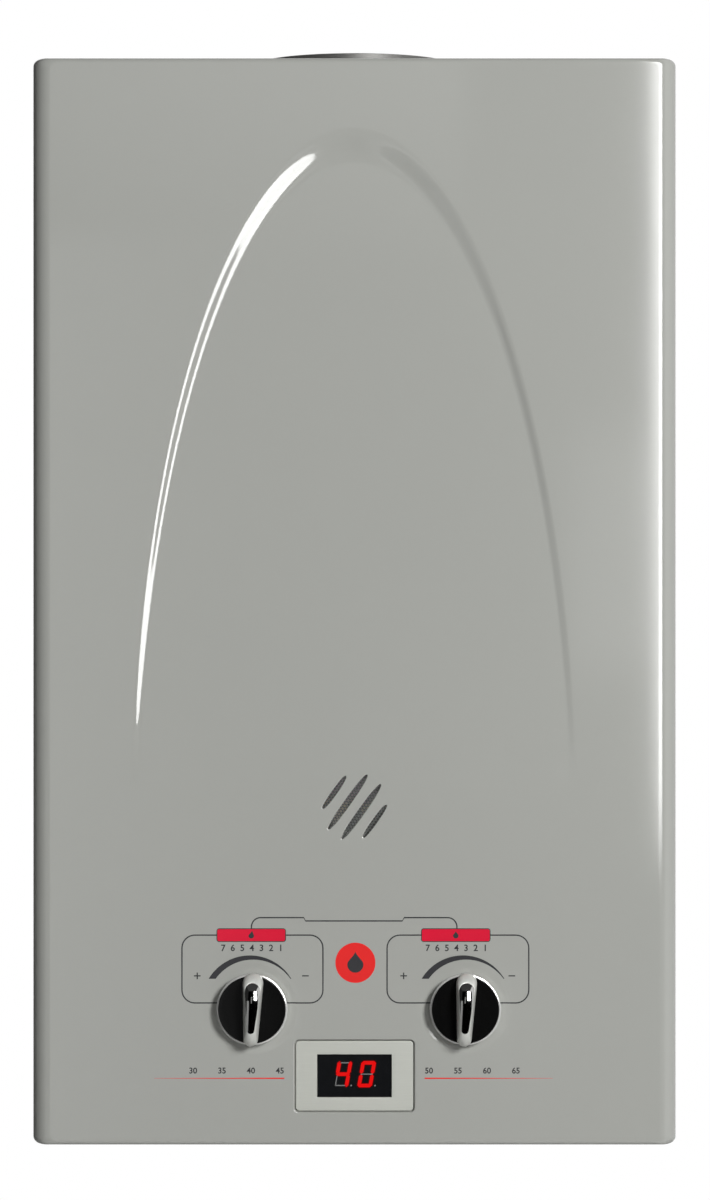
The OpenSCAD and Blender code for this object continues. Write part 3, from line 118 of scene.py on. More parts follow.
@dataclass
class Shape:
    """A mesh in the making: points, faces, and an outward normal for each point."""

    points: list[Sequence[float]] = field(default_factory=list)
    faces: list[Face] = field(default_factory=list)
    normals: list[Sequence[float]] = field(default_factory=list)

    @classmethod
    def of(cls, points: Array, faces: Iterable[Face], normals: Optional[Array] = None) -> "Shape":
        """Start a shape from points, faces and perhaps normals."""
        shape = cls()
        shape.add(points, faces, normals)
        return shape

    def add(self, points: Array, faces: Iterable[Face], normals: Optional[Array] = None) -> None:
        """Append points and the faces that join them.

        Args:
            points: Rows of x, y, z.
            faces: Faces that count from the first new point.
            normals: One row for each point, or nothing.
        """
        start = len(self.points)
        self.points.extend(map(tuple, points))
        self.faces.extend(tuple(start + i for i in face) for face in faces)
        if normals is not None:
            self.normals.extend(map(tuple, normals))

    def join(self, other: "Shape") -> None:
        """Append another shape."""
        normals = np.array(other.normals) if other.normals else None
        self.add(np.array(other.points), other.faces, normals)

    def merged(self, digits: int = 4) -> "Shape":
        """Give a copy in which points that coincide are one."""
        places = np.round(np.array(self.points), digits)
        _, first, back = np.unique(places, axis=0, return_index=True, return_inverse=True)
        back = back.ravel()
        rings = [[int(back[i]) for i in face] for face in self.faces]
        faces = [tuple(p for n, p in enumerate(ring) if p != ring[n - 1]) for ring in rings]
        points = [self.points[i] for i in first]
        normals = [self.normals[i] for i in first] if self.normals else []
        return Shape(points, [face for face in faces if len(face) > 2], normals)


def grid_faces(rows: int, columns: int, closed: bool = False) -> list[Face]:
    """Join a grid of points by quads.

    Args:
        rows: Number of rows of points.
        columns: Number of points in a row.
        closed: Whether each row is a loop.

    Returns:
        The quads, which face up where rows run away and columns run right.
    """
    wide = columns if closed else columns - 1
    return [
        (
            row * columns + column,
            row * columns + (column + 1) % columns,
            (row + 1) * columns + (column + 1) % columns,
            (row + 1) * columns + column,
        )
        for row in range(rows - 1)
        for column in range(wide)
    ]


def lathe(profile: Sequence[tuple[float, float]], turns: int = 96) -> Shape:
    """Turn a profile round the Z axis.

    Args:
        profile: Pairs of radius and height, a closed line or one with both ends on the axis.
        turns: Number of steps round the axis.

    Returns:
        The turned shape, with its faces outward where the profile runs upwards on its outside.
    """
    angles = np.arange(turns) * (2.0 * math.pi / turns)
    rings = [
        [(radius * math.cos(a), radius * math.sin(a), height) for a in angles]
        for radius, height in profile
    ]
    points = np.array(rings).reshape(-1, 3)
    return Shape.of(points, grid_faces(len(profile), turns, closed=True)).merged()


def turned(places: Array, degrees: float) -> Array:
    """Turn rows of two coordinates anticlockwise about the origin."""
    c, s = math.cos(math.radians(degrees)), math.sin(math.radians(degrees))
    return places @ np.array([[c, s], [-s, c]])


def upright(places: Array, y: float) -> Array:
    """Stand rows of x and z at a depth."""
    return np.stack([places[:, 0], np.full(len(places), y), places[:, 1]], axis=1)


def arc(
    centre: Sequence[float], radius: float, first: float, last: float, steps: int
) -> list[tuple[float, float]]:
    """Give points along an arc.

    Args:
        centre: Its centre.
        radius: Its radius.
        first: The angle in degrees at which it begins.
        last: The angle at which it ends.
        steps: Number of steps along it.

    Returns:
        Pairs of coordinates, with both ends.
    """
    angles = [math.radians(first + (last - first) * k / steps) for k in range(steps + 1)]
    return [(centre[0] + radius * math.cos(a), centre[1] + radius * math.sin(a)) for a in angles]


def circle(x: float, z: float, radius: float, steps: int) -> Array:
    """Give a circle, anticlockwise."""
    angles = np.arange(steps) * (2.0 * math.pi / steps)
    return np.stack([x + radius * np.cos(angles), z + radius * np.sin(angles)], axis=1)


def inside(places: Array, loop: Array) -> Array:
    """Tell which places lie inside a loop."""
    x, z = places[:, 0], places[:, 1]
    result = np.zeros(len(places), bool)
    for (x0, z0), (x1, z1) in zip(loop, np.roll(loop, -1, axis=0)):
        crosses = (z0 > z) != (z1 > z)
        at = x0 + (z - z0) * (x1 - x0) / (z1 - z0 if abs(z1 - z0) > TINY else TINY)
        result ^= crosses & (x < at)
    return result


def triangulate(
    loops: Sequence[tuple[Array, bool]], holes: Sequence[Array], near: float
) -> tuple[Array, Array]:
    """Fill the plane round lines with triangles whose edges follow them.

    Args:
        loops: Rows of two coordinates, each with whether it is closed.
        holes: Closed loops that stay empty.
        near: Distance within which points become one.

    Returns:
        The points, and rows of three point numbers.
    """
    places, edges = [], []
    for loop, closed in loops:
        first = len(places)
        places.extend(Vector(point) for point in loop)
        edges.extend((first + k, first + k + 1) for k in range(len(loop) - 1))
        if closed:
            edges.append((first + len(loop) - 1, first))
    made = delaunay_2d_cdt(places, edges, [], 0, near)
    flat = np.array([tuple(point) for point in made[0]])
    triangles = np.array([list(face) for face in made[2]])
    centres = flat[triangles].mean(axis=1)
    for loop in holes:
        empty = inside(centres, loop)
        triangles, centres = triangles[~empty], centres[~empty]
    return flat, triangles


def punched(
    outer: Array, inner: Array, low: float, high: float, walls: Sequence[Sequence[int]]
) -> Shape:
    """Make a flat sheet between two loops, with walls along some of its edges.

    Args:
        outer: The outer loop.
        inner: The loop of its hole.
        low: Height of its underside.
        high: Height of its upper side.
        walls: Runs of point numbers, the outer loop's first, that get a wall.

    Returns:
        The sheet.
    """
    flat, triangles = triangulate([(outer, True), (inner, True)], [inner], TINY)
    triangles = triangles[inside(flat[triangles].mean(axis=1), outer)]
    count = len(flat)
    sides = [np.column_stack([flat, np.full(count, height)]) for height in (high, low)]
    faces = [tuple(int(i) for i in face) for face in triangles]
    faces += [tuple(count + i for i in face[::-1]) for face in faces]
    for run in walls:
        faces += [(a, b, b + count, a + count) for a, b in zip(run, run[1:])]
    return Shape.of(np.vstack(sides), faces)


def thicken(shape: Shape, thickness: float) -> tuple[list[Face], Array, list[Array]]:
    """Give a skin a wall on its inner side and close it along its free edges.

    Args:
        shape: The outer skin, with normals.
        thickness: Thickness of the wall.

    Returns:
        The faces, the points, and for each face the normals of its corners.
    """
    outer = np.array(shape.points)
    normals = unit(np.array(shape.normals))
    count = len(outer)
    points = np.vstack([outer, outer - thickness * normals])
    faces = list(shape.faces) + [tuple(count + i for i in reversed(face)) for face in shape.faces]
    both = np.vstack([normals, -normals])
    corner_normals = [both[list(face)] for face in faces]
    edges = dict.fromkeys(pair for face in shape.faces for pair in zip(face, face[1:] + face[:1]))
    for a, b in edges:
        if (b, a) in edges:
            continue
        rim = (b, a, a + count, b + count)
        normal = unit(np.cross(points[a] - points[b], points[a + count] - points[a])[None])[0]
        faces.append(rim)
        corner_normals.append(np.repeat(normal[None], 4, axis=0))
    return faces, points, corner_normals


def make_mesh(name: str, points: Array, faces: Sequence[Face]) -> bpy.types.Mesh:
    """Make a mesh in metres from points in millimetres."""
    mesh = bpy.data.meshes.new(name)
    mesh.from_pydata((np.asarray(points) * MM).tolist(), [], [list(face) for face in faces])
    mesh.validate()
    mesh.update()
    return mesh


def place(obj: bpy.types.Object, body: str, slot: str, *nodes: str) -> bpy.types.Object:
    """Tie a finished piece to the frame.

    Args:
        obj: The piece.
        body: The body that it moves with.
        slot: The record's material slot of its finish; not used.
        *nodes: The nodes that it stands for.

    Returns:
        The piece.
    """
    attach(obj, body)
    if nodes:
        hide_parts(*nodes)
    LOG.info("%s rides on %s", obj.name, body)
    return obj


def new_object(name: str, mesh: bpy.types.Mesh, *materials: bpy.types.Material) -> bpy.types.Object:
    """Link a mesh into the scene under a name, with its materials."""
    obj = bpy.data.objects.new(name, mesh)
    bpy.context.scene.collection.objects.link(obj)
    for material in materials:
        mesh.materials.append(material)
    return obj


def turn_outwards(mesh: bpy.types.Mesh, weld: float = 0.0) -> None:
    """Turn the faces of a closed mesh outwards.

    Args:
        mesh: The mesh.
        weld: Distance in millimetres within which points become one first. Where it is given,
            open four-sided gaps are closed too.
    """
    made = bmesh.new()
    made.from_mesh(mesh)
    if weld:
        bmesh.ops.remove_doubles(made, verts=made.verts, dist=weld * MM)
        bmesh.ops.holes_fill(made, edges=[edge for edge in made.edges if edge.is_boundary], sides=4)
    bmesh.ops.recalc_face_normals(made, faces=made.faces)
    made.to_mesh(mesh)
    made.free()


def weigh_normals(mesh: bpy.types.Mesh, crease: float) -> None:
    """Shade a mesh smooth with normals that its large faces lead, sharp above an angle.

    Args:
        mesh: The mesh.
        crease: Angle in degrees above which an edge is sharp.
    """
    limit = math.cos(math.radians(crease))
    around: list[list[tuple[Vector, float]]] = [[] for _ in mesh.vertices]
    for polygon in mesh.polygons:
        for index in polygon.vertices:
            around[index].append((polygon.normal.copy(), polygon.area))
    wanted = []
    for polygon in mesh.polygons:
        for index in polygon.vertices:
            total = Vector()
            for normal, area in around[index]:
                if normal.dot(polygon.normal) > limit:
                    total += normal * area
            wanted.append(tuple(total.normalized()))
    mesh.shade_smooth()
    mesh.normals_split_custom_set(wanted)


def solid_object(
    name: str, shape: Shape, material: bpy.types.Material, crease: float = EDGE_CREASE
) -> bpy.types.Object:
    """Make an object of a closed shape, smooth but for its edges.

    Args:
        name: The object's name.
        shape: The closed shape.
        material: Its finish.
        crease: Angle in degrees above which an edge is sharp.

    Returns:
        The new object.
    """
    mesh = make_mesh(name, shape.points, shape.faces)
    turn_outwards(mesh)
    weigh_normals(mesh, crease)
    return new_object(name, mesh, material)


def skin_object(
    name: str, shape: Shape, thickness: float, material: bpy.types.Material
) -> bpy.types.Object:
    """Make an object of a skin with a wall and exact normals.

    Args:
        name: The object's name.
        shape: The outer skin, with normals.
        thickness: Thickness of the wall.
        material: Its finish.

    Returns:
        The new object.
    """
    faces, points, corner_normals = thicken(shape, thickness)
    mesh = make_mesh(name, points, faces)
    mesh.shade_smooth()
    wanted = [normal for corners in corner_normals for normal in corners]
    if len(wanted) == len(mesh.loops):
        mesh.normals_split_custom_set([tuple(normal) for normal in wanted])
    else:
        LOG.warning("%s has %d corners and %d normals", name, len(mesh.loops), len(wanted))
    return new_object(name, mesh, material)


class Nodes:
    """The node tree of a material or a group, with short calls to fill it."""

    def __init__(self, tree: bpy.types.NodeTree) -> None:
        """Take a tree and empty it."""
        self.tree = tree
        tree.nodes.clear()

    def add(self, kind: str, inputs: Optional[dict] = None, **settings: object) -> bpy.types.Node:
        """Add a node.

        Args:
            kind: Its type.
            inputs: What its inputs are joined to or set to, by their names or numbers.
            **settings: Its own properties.

        Returns:
            The new node.
        """
        node = self.tree.nodes.new(kind)
        for name, value in settings.items():
            setattr(node, name, value)
        self.fill(node, inputs or {})
        return node

    def fill(self, node: bpy.types.Node, inputs: dict) -> None:
        """Join inputs of a node to sockets, or set their values."""
        for key, value in inputs.items():
            if isinstance(value, Socket):
                self.tree.links.new(value, node.inputs[key])
            else:
                node.inputs[key].default_value = value

    def math(self, operation: str, *values: object) -> Socket:
        """Add a Math node and give its output."""
        return self.add("ShaderNodeMath", dict(enumerate(values)), operation=operation).outputs[0]

    def vector(self, operation: str, *values: object) -> bpy.types.Node:
        """Add a Vector Math node."""
        return self.add("ShaderNodeVectorMath", dict(enumerate(values)), operation=operation)

    def remap(self, *values: object) -> Socket:
        """Add a clamped Map Range node: a value, its two bounds, and what they become."""
        return self.add("ShaderNodeMapRange", dict(enumerate(values))).outputs[0]

    def mix(self, share: object, first: object, second: object) -> Socket:
        """Add a colour Mix node and give its output."""
        return self.add("ShaderNodeMix", {0: share, 6: first, 7: second}, data_type="RGBA").outputs[2]

    def noise(self, vector: object, scale: object, detail: float = 2.0, rough: float = 0.5) -> Socket:
        """Add a Noise node and give its factor."""
        inputs = {"Vector": vector, "Scale": scale, "Detail": detail, "Roughness": rough}
        return self.add("ShaderNodeTexNoise", inputs).outputs["Fac"]

    def height(self, vector: Socket) -> Socket:
        """Give the upward part of a vector."""
        return self.add("ShaderNodeSeparateXYZ", {0: vector}).outputs["Z"]

    def spot(self) -> Socket:
        """Give the place of a point in its object."""
        return self.add("ShaderNodeTexCoord").outputs["Object"]

    def group(self, group: bpy.types.NodeTree, **values: object) -> bpy.types.Node:
        """Place a shader group and set its named inputs."""
        return self.add("ShaderNodeGroup", values, node_tree=group)


def new_group(
    name: str, inputs: dict[str, object], outputs: Sequence[str]
) -> tuple[Nodes, bpy.types.NodeOutputs, bpy.types.Node]:
    """Start a shader node group with named sockets.

    Args:
        name: The group's name.
        inputs: For each input its default, a number or three of them.
        outputs: The names of its outputs, all numbers.

    Returns:
        The group's nodes, what its inputs give, and its output node.
    """
    group = bpy.data.node_groups.new(name, "ShaderNodeTree")
    for label, default in inputs.items():
        kind = "NodeSocketVector" if isinstance(default, tuple) else FLOAT
        group.interface.new_socket(label, in_out="INPUT", socket_type=kind).default_value = default
    for label in outputs:
        group.interface.new_socket(label, in_out="OUTPUT", socket_type=FLOAT)
    nodes = Nodes(group)
    return nodes, nodes.add("NodeGroupInput").outputs, nodes.add("NodeGroupOutput")


def new_material(
    name: str, kind: str, inputs: dict
) -> tuple[bpy.types.Material, Nodes, bpy.types.Node]:
    """Start a material of one shader.

    Args:
        name: Its name.
        kind: The shader's type.
        inputs: The shader's inputs.

    Returns:
        The material, its nodes and its shader.
    """
    material = bpy.data.materials.new(name)
    material.use_nodes = True
    nodes = Nodes(material.node_tree)
    shader = nodes.add(kind, inputs)
    nodes.add("ShaderNodeOutputMaterial", {"Surface": shader.outputs[0]})
    return material, nodes, shader


def rgba(colour: Colour) -> tuple[float, float, float, float]:
    """Give a colour its alpha."""
    return (*colour, 1.0)


class GeometryTree:
    """A Geometry Nodes tree with named inputs that ends in one finish."""

    def __init__(self, name: str, inputs: dict[str, tuple[str, object]]) -> None:
        """Start the tree.

        Args:
            name: Its name.
            inputs: For each input its kind of socket and its default.
        """
        self.name = name
        self.tree = bpy.data.node_groups.new(name, "GeometryNodeTree")
        sockets = self.tree.interface
        sockets.new_socket("Geometry", in_out="INPUT", socket_type=GEOMETRY)
        self.known: dict[str, str] = {}
        for label, (kind, default) in {**inputs, "Finish": ("NodeSocketMaterial", None)}.items():
            made = sockets.new_socket(label, in_out="INPUT", socket_type=kind)
            if default is not None:
                made.default_value = default
            self.known[label] = made.identifier
        sockets.new_socket("Geometry", in_out="OUTPUT", socket_type=GEOMETRY)
        self.nodes = Nodes(self.tree)
        self.given = self.nodes.add("NodeGroupInput").outputs
        real = self.nodes.add("GeometryNodeRealizeInstances", {0: self.shape()})
        painted = {"Geometry": real.outputs[0], "Material": self.given["Finish"]}
        painted = self.nodes.add("GeometryNodeSetMaterial", painted)
        self.nodes.add("NodeGroupOutput", {0: painted.outputs[0]})

    def shape(self) -> Socket:
        """Build the part of the tree that makes the shape, and give its output."""
        raise NotImplementedError

    def run(self, name: str, start: bpy.types.Mesh, **values: object) -> bpy.types.Object:
        """Run the tree on a mesh and keep the result as a plain mesh.

        Args:
            name: Name of the new object.
            start: The mesh that the tree starts from.
            **values: The tree's inputs by name.

        Returns:
            The new object.
        """
        obj = new_object(name, start)
        modifier = obj.modifiers.new(self.name, "NODES")
        modifier.node_group = self.tree
        for label, value in values.items():
            modifier[self.known[label]] = value
        graph = bpy.context.evaluated_depsgraph_get()
        mesh = bpy.data.meshes.new_from_object(obj.evaluated_get(graph))
        obj.modifiers.remove(modifier)
        obj.data = mesh
        mesh.name = name
        return obj


class SetOnPoints(GeometryTree):
    """Sets a piece on every point of a mesh, turned as the point says."""

    TURN = "turn"

    def __init__(self) -> None:
        """Build the tree."""
        super().__init__("set_on_points", {"Piece": ("NodeSocketObject", None)})

    def shape(self) -> Socket:
        """Set the piece on the points."""
        nodes, given = self.nodes, self.given
        piece = nodes.add("GeometryNodeObjectInfo", {"Object": given["Piece"]})
        kept = {"Name": self.TURN}
        turn = nodes.add("GeometryNodeInputNamedAttribute", kept, data_type="FLOAT_VECTOR")
        rotation = nodes.add("FunctionNodeEulerToRotation", {0: turn.outputs[0]})
        wanted = {
            "Points": given["Geometry"],
            "Instance": piece.outputs["Geometry"],
            "Rotation": rotation.outputs[0],
        }
        return nodes.add("GeometryNodeInstanceOnPoints", wanted).outputs[0]

    def lay(
        self,
        name: str,
        piece: Shape,
        spots: Sequence[tuple[Sequence[float], Matrix]],
        finish: bpy.types.Material,
        crease: float = EDGE_CREASE,
    ) -> bpy.types.Object:
        """Lay a piece at spots.

        Args:
            name: Name of the new object.
            piece: The piece, standing on the XY plane.
            spots: For each spot its place and the turn of the piece there.
            finish: The material.
            crease: Angle in degrees above which an edge is sharp.

        Returns:
            The new object.
        """
        sample = make_mesh(f"{name}_sample", piece.points, piece.faces)
        sample = new_object(sample.name, sample)
        points = make_mesh(name, [spot for spot, _ in spots], [])
        turns = points.attributes.new(self.TURN, "FLOAT_VECTOR", "POINT")
        turns.data.foreach_set("vector", [value for _, turn in spots for value in turn.to_euler()])
        obj = self.run(name, points, Piece=sample, Finish=finish)
        bpy.data.objects.remove(sample)
        turn_outwards(obj.data, 0.004)
        weigh_normals(obj.data, crease)
        return obj


class SpiralWire(GeometryTree):
    """Sweeps a wire along a spiral that rises along Z, with closed ends where wanted."""

    def __init__(self) -> None:
        """Build the tree."""
        sizes = {"Radius": 0.005, "Length": 0.02, "Turns": 6.0, "Wire": 0.0005, "Closing": 0.0}
        inputs = {label: (FLOAT, default) for label, default in sizes.items()}
        inputs |= {"Steps": ("NodeSocketInt", 32), "Sides": ("NodeSocketInt", 10)}
        super().__init__("spiral_wire", inputs)

    def shape(self) -> Socket:
        """Sweep the wire."""
        nodes, given = self.nodes, self.given
        radius, length = given["Radius"], given["Length"]
        line = {"Resolution": given["Steps"], "Rotations": given["Turns"], "Height": length}
        line |= {"Start Radius": radius, "End Radius": radius}
        spiral = nodes.add("GeometryNodeCurveSpiral", line)
        share = nodes.add("GeometryNodeSplineParameter").outputs["Factor"]
        eased = nodes.add("ShaderNodeMapRange", {0: share}, interpolation_type="SMOOTHSTEP")
        shift = nodes.math("SUBTRACT", eased.outputs[0], share)
        shift = nodes.math("MULTIPLY", nodes.math("MULTIPLY", shift, given["Closing"]), length)
        offset = nodes.add("ShaderNodeCombineXYZ", {"Z": shift}).outputs[0]
        moved = nodes.add("GeometryNodeSetPosition", {"Geometry": spiral.outputs[0], "Offset": offset})
        circle_inputs = {"Resolution": given["Sides"], "Radius": given["Wire"]}
        section = nodes.add("GeometryNodeCurvePrimitiveCircle", circle_inputs)
        wire = {"Curve": moved.outputs[0], "Profile Curve": section.outputs[0], "Fill Caps": True}
        return nodes.add("GeometryNodeCurveToMesh", wire).outputs[0]

    def coil(
        self,
        name: str,
        base: Sequence[float],
        turned: Matrix,
        finish: bpy.types.Material,
        **sizes: float,
    ) -> bpy.types.Object:
        """Make a coil.

        Args:
            name: Name of the new object.
            base: Where the coil's axis begins, in millimetres.
            turned: How the coil is turned from its stand along Z.
            finish: The material.
            **sizes: The tree's sizes by name, in millimetres, and its counts.

        Returns:
            The new object.
        """
        for label in ("Radius", "Length", "Wire"):
            sizes[label] *= MM
        obj = self.run(name, bpy.data.meshes.new(name), Finish=finish, **sizes)
        obj.data.transform(Matrix.Translation(Vector(base) * MM) @ turned.to_4x4())
        turn_outwards(obj.data)
        weigh_normals(obj.data, ROUND_CREASE)
        return obj


class Grain(Enum):
    """How the surface of a finish is broken up."""

    EVEN = "even"
    BRUSHED = "brushed"
    SPANGLE = "spangle"
    CAST = "cast"


class Effects:
    """The shader groups that several finishes share, each built once."""

    def __init__(self) -> None:
        """Build the groups."""
        self.grain = self._grain()
        self.spangle = self._spangle()
        self.cast = self._cast()
        self.wear = self._wear()
        self.dust = self._dust()

    @staticmethod
    def _grain() -> bpy.types.NodeTree:
        """Build the group that breaks a surface up, evenly or along one direction."""
        inputs = {"Size": 0.001, "Stretch": (1.0, 1.0, 1.0), "Cloud": 0.06}
        nodes, given, result = new_group("surface_grain", inputs, ("Tone", "Height"))
        spot = nodes.spot()
        drawn = nodes.vector("DIVIDE", spot, given["Stretch"]).outputs[0]
        fine = nodes.noise(drawn, nodes.math("DIVIDE", 1.0, given["Size"]), 3.0, 0.6)
        broad = nodes.noise(spot, nodes.math("DIVIDE", 1.0, given["Cloud"]), 3.0, 0.55)
        sharp = nodes.remap(fine, 0.3, 0.7, 0.0, 1.0)
        soft = nodes.remap(broad, 0.32, 0.68, 0.0, 1.0)
        shares = nodes.math("MULTIPLY", sharp, 0.4), nodes.math("MULTIPLY", soft, 0.6)
        tone = nodes.math("ADD", *shares)
        nodes.fill(result, {"Tone": tone, "Height": sharp})
        return nodes.tree

    @staticmethod
    def _spangle() -> bpy.types.NodeTree:
        """Build the group for the crystals of hot-dipped zinc."""
        nodes, given, result = new_group("zinc_spangle", {"Size": 0.006}, ("Tone", "Height"))
        spot = nodes.spot()
        shift = nodes.add("ShaderNodeTexNoise", {"Vector": spot, "Scale": 160.0})
        drawn = nodes.vector("SCALE", shift.outputs["Color"])
        nodes.fill(drawn, {"Scale": nodes.math("MULTIPLY", given["Size"], 0.5)})
        bent = nodes.vector("ADD", spot, drawn.outputs[0]).outputs[0]
        count = nodes.math("DIVIDE", 1.0, given["Size"])
        cells = nodes.add("ShaderNodeTexVoronoi", {"Vector": bent, "Scale": count})
        split = nodes.add("ShaderNodeSeparateColor", {0: cells.outputs["Color"]})
        nodes.fill(result, {"Tone": split.outputs[0], "Height": cells.outputs["Distance"]})
        return nodes.tree

    @staticmethod
    def _cast() -> bpy.types.NodeTree:
        """Build the group for the pebbled skin of a die casting."""
        nodes, given, result = new_group("cast_skin", {"Size": 0.0012}, ("Tone", "Height"))
        spot = nodes.spot()
        inputs = {"Vector": spot, "Scale": nodes.math("DIVIDE", 1.0, given["Size"])}
        pebbles = nodes.add("ShaderNodeTexVoronoi", inputs, feature="SMOOTH_F1")
        pebble = pebbles.outputs["Distance"]
        fine = nodes.noise(spot, nodes.math("DIVIDE", 2.6, given["Size"]), 2.0, 0.6)
        flow = nodes.remap(nodes.noise(spot, 55.0, 4.0, 0.6), 0.34, 0.66, 0.0, 1.0)
        shares = nodes.math("MULTIPLY", flow, 0.7), nodes.math("MULTIPLY", pebble, 0.5)
        tone = nodes.math("ADD", *shares)
        nodes.fill(result, {"Tone": tone, "Height": nodes.math("SUBTRACT", fine, pebble)})
        return nodes.tree

    @staticmethod
    def _wear() -> bpy.types.NodeTree:
        """Build the group that finds the worn edges of a piece."""
        nodes, given, result = new_group("edge_wear", {"Width": 0.0005, "Amount": 0.5}, ("Mask",))
        bevel = nodes.add("ShaderNodeBevel", {"Radius": given["Width"]}, samples=4)
        flat = nodes.add("ShaderNodeNewGeometry").outputs["Normal"]
        turn = nodes.vector("DOT_PRODUCT", bevel.outputs[0], flat).outputs["Value"]
        edge = nodes.remap(turn, 0.97, 0.8, 0.0, 1.0)
        broken = nodes.remap(nodes.noise(nodes.spot(), 420.0, 3.0, 0.7), 0.38, 0.62, 0.2, 1.0)
        mask = nodes.math("MULTIPLY", nodes.math("MULTIPLY", edge, broken), given["Amount"])
        nodes.fill(result, {"Mask": mask})
        return nodes.tree

    @staticmethod
    def _dust() -> bpy.types.NodeTree:
        """Build the group that settles dust on what looks upwards."""
        nodes, given, result = new_group("settled_dust", {"Amount": 0.3}, ("Mask",))
        normal = nodes.add("ShaderNodeNewGeometry").outputs["Normal"]
        upward = nodes.remap(nodes.height(normal), 0.3, 1.0, 0.0, 1.0)
        clouds = nodes.remap(nodes.noise(nodes.spot(), 90.0, 4.0, 0.65), 0.35, 0.7, 0.25, 1.0)
        mask = nodes.math("MULTIPLY", nodes.math("MULTIPLY", upward, clouds), given["Amount"])
        nodes.fill(result, {"Mask": mask})
        return nodes.tree


@dataclass(frozen=True)
class Finish:
    """A surface finish: its colours, its gloss, and how its surface is broken up."""

    name: str
    colour: Colour
    tint: Colour
    roughness: tuple[float, float]
    metallic: float = 0.0
    grain: Grain = Grain.EVEN
    grain_size: float = 0.8
    stretch: tuple[float, float, float] = (1.0, 1.0, 1.0)
    cloud: float = 60.0
    bump: float = 0.15
    bump_depth: float = 0.02
    worn: Optional[Colour] = None
    wear_width: float = 0.5
    wear: float = 0.6
    dust: float = 0.0
    coat: float = 0.0
    coat_roughness: float = 0.05

    @classmethod
    def ink(cls, name: str, colour: Colour, tint: Colour) -> "Finish":
        """Give the finish of a smooth screen print."""
        return cls(name, colour, tint, (0.08, 0.14), grain_size=0.3, bump=0.05)

    def build(self, effects: Effects) -> bpy.types.Material:
        """Build the material.

        Args:
            effects: The shared shader groups.

        Returns:
            The new material.
        """
        wanted = {
            "Metallic": self.metallic,
            "Coat Weight": self.coat,
            "Coat Roughness": self.coat_roughness,
        }
        material, nodes, shader = new_material(self.name, "ShaderNodeBsdfPrincipled", wanted)
        size = self.grain_size * MM
        if self.grain is Grain.SPANGLE:
            pattern = nodes.group(effects.spangle, Size=size)
        elif self.grain is Grain.CAST:
            pattern = nodes.group(effects.cast, Size=size)
        else:
            cloud = self.cloud * MM
            pattern = nodes.group(effects.grain, Size=size, Stretch=self.stretch, Cloud=cloud)
        tone = pattern.outputs["Tone"]
        colour = nodes.mix(tone, rgba(self.colour), rgba(self.tint))
        roughness = nodes.remap(tone, 0.0, 1.0, *self.roughness)
        colour, roughness = self.age(nodes, effects, colour, roughness)
        relief = {
            "Strength": self.bump,
            "Distance": self.bump_depth * MM,
            "Height": pattern.outputs["Height"],
        }
        bump = nodes.add("ShaderNodeBump", relief).outputs[0]
        nodes.fill(shader, {"Base Color": colour, "Roughness": roughness, "Normal": bump})
        self.finish(nodes, shader)
        return material

    def age(
        self,
        nodes: Nodes,
        effects: Effects,
        colour: Socket,
        roughness: Socket,
    ) -> tuple[Socket, Socket]:
        """Lay worn edges and dust over a colour and a roughness.

        Args:
            nodes: The material's nodes.
            effects: The shared shader groups.
            colour: The colour so far.
            roughness: The roughness so far.

        Returns:
            The colour and the roughness with their age.
        """
        if self.worn is not None:
            worn = nodes.group(effects.wear, Width=self.wear_width * MM, Amount=self.wear)
            mask = worn.outputs["Mask"]
            colour = nodes.mix(mask, colour, rgba(self.worn))
        if self.dust:
            mask = nodes.group(effects.dust, Amount=self.dust).outputs["Mask"]
            colour = nodes.mix(mask, colour, rgba(DUST))
            roughness = nodes.math("ADD", roughness, nodes.math("MULTIPLY", mask, 0.4))
        return colour, roughness

    def finish(self, nodes: Nodes, shader: bpy.types.Node) -> None:
        """Add what only one kind of finish has."""


@dataclass(frozen=True)
class HeatTinted(Finish):
    """Bare metal that the flame has coloured between two heights."""

    hot: Colour = (0.2, 0.13, 0.3)
    straw: Colour = (0.5, 0.33, 0.12)
    low_z: float = 0.0
    high_z: float = 100.0

    def finish(self, nodes: Nodes, shader: bpy.types.Node) -> None:
        """Lay straw and blue bands over the colour."""
        spot = nodes.spot()
        wave = nodes.math("SUBTRACT", nodes.noise(spot, 30.0, 3.0), 0.5)
        wave = nodes.math("MULTIPLY", wave, 0.03)
        level = nodes.math("ADD", nodes.height(spot), wave)
        share = nodes.remap(level, self.low_z * MM, self.high_z * MM, 0.0, 1.0)
        before = shader.inputs["Base Color"].links[0].from_socket
        first = nodes.mix(nodes.remap(share, 0.0, 0.55, 0.0, 0.55), before, rgba(self.straw))
        second = nodes.mix(nodes.remap(share, 0.5, 1.0, 0.0, 0.6), first, rgba(self.hot))
        nodes.fill(shader, {"Base Color": second})


@dataclass(frozen=True)
class Lit(Finish):
    """A surface that gives light of its own."""

    glow: float = 1.0
    light: Colour = (0.72, 0.004, 0.004)

    def finish(self, nodes: Nodes, shader: bpy.types.Node) -> None:
        """Let the surface glow."""
        nodes.fill(shader, {"Emission Color": rgba(self.light), "Emission Strength": self.glow})


@dataclass(frozen=True)
class Board(Finish):
    """Solder mask over copper tracks."""

    track: Colour = (0.05, 0.2, 0.08)
    density: float = 320.0

    def finish(self, nodes: Nodes, shader: bpy.types.Node) -> None:
        """Draw the tracks as the edges of square cells."""
        inputs = {"Vector": nodes.spot(), "Scale": self.density}
        cells = nodes.add("ShaderNodeTexVoronoi", inputs, feature="F1", distance="CHEBYCHEV")
        line = nodes.remap(cells.outputs["Distance"], 0.42, 0.46, 0.0, 1.0)
        before = shader.inputs["Base Color"].links[0].from_socket
        nodes.fill(shader, {"Base Color": nodes.mix(line, before, rgba(self.track))})


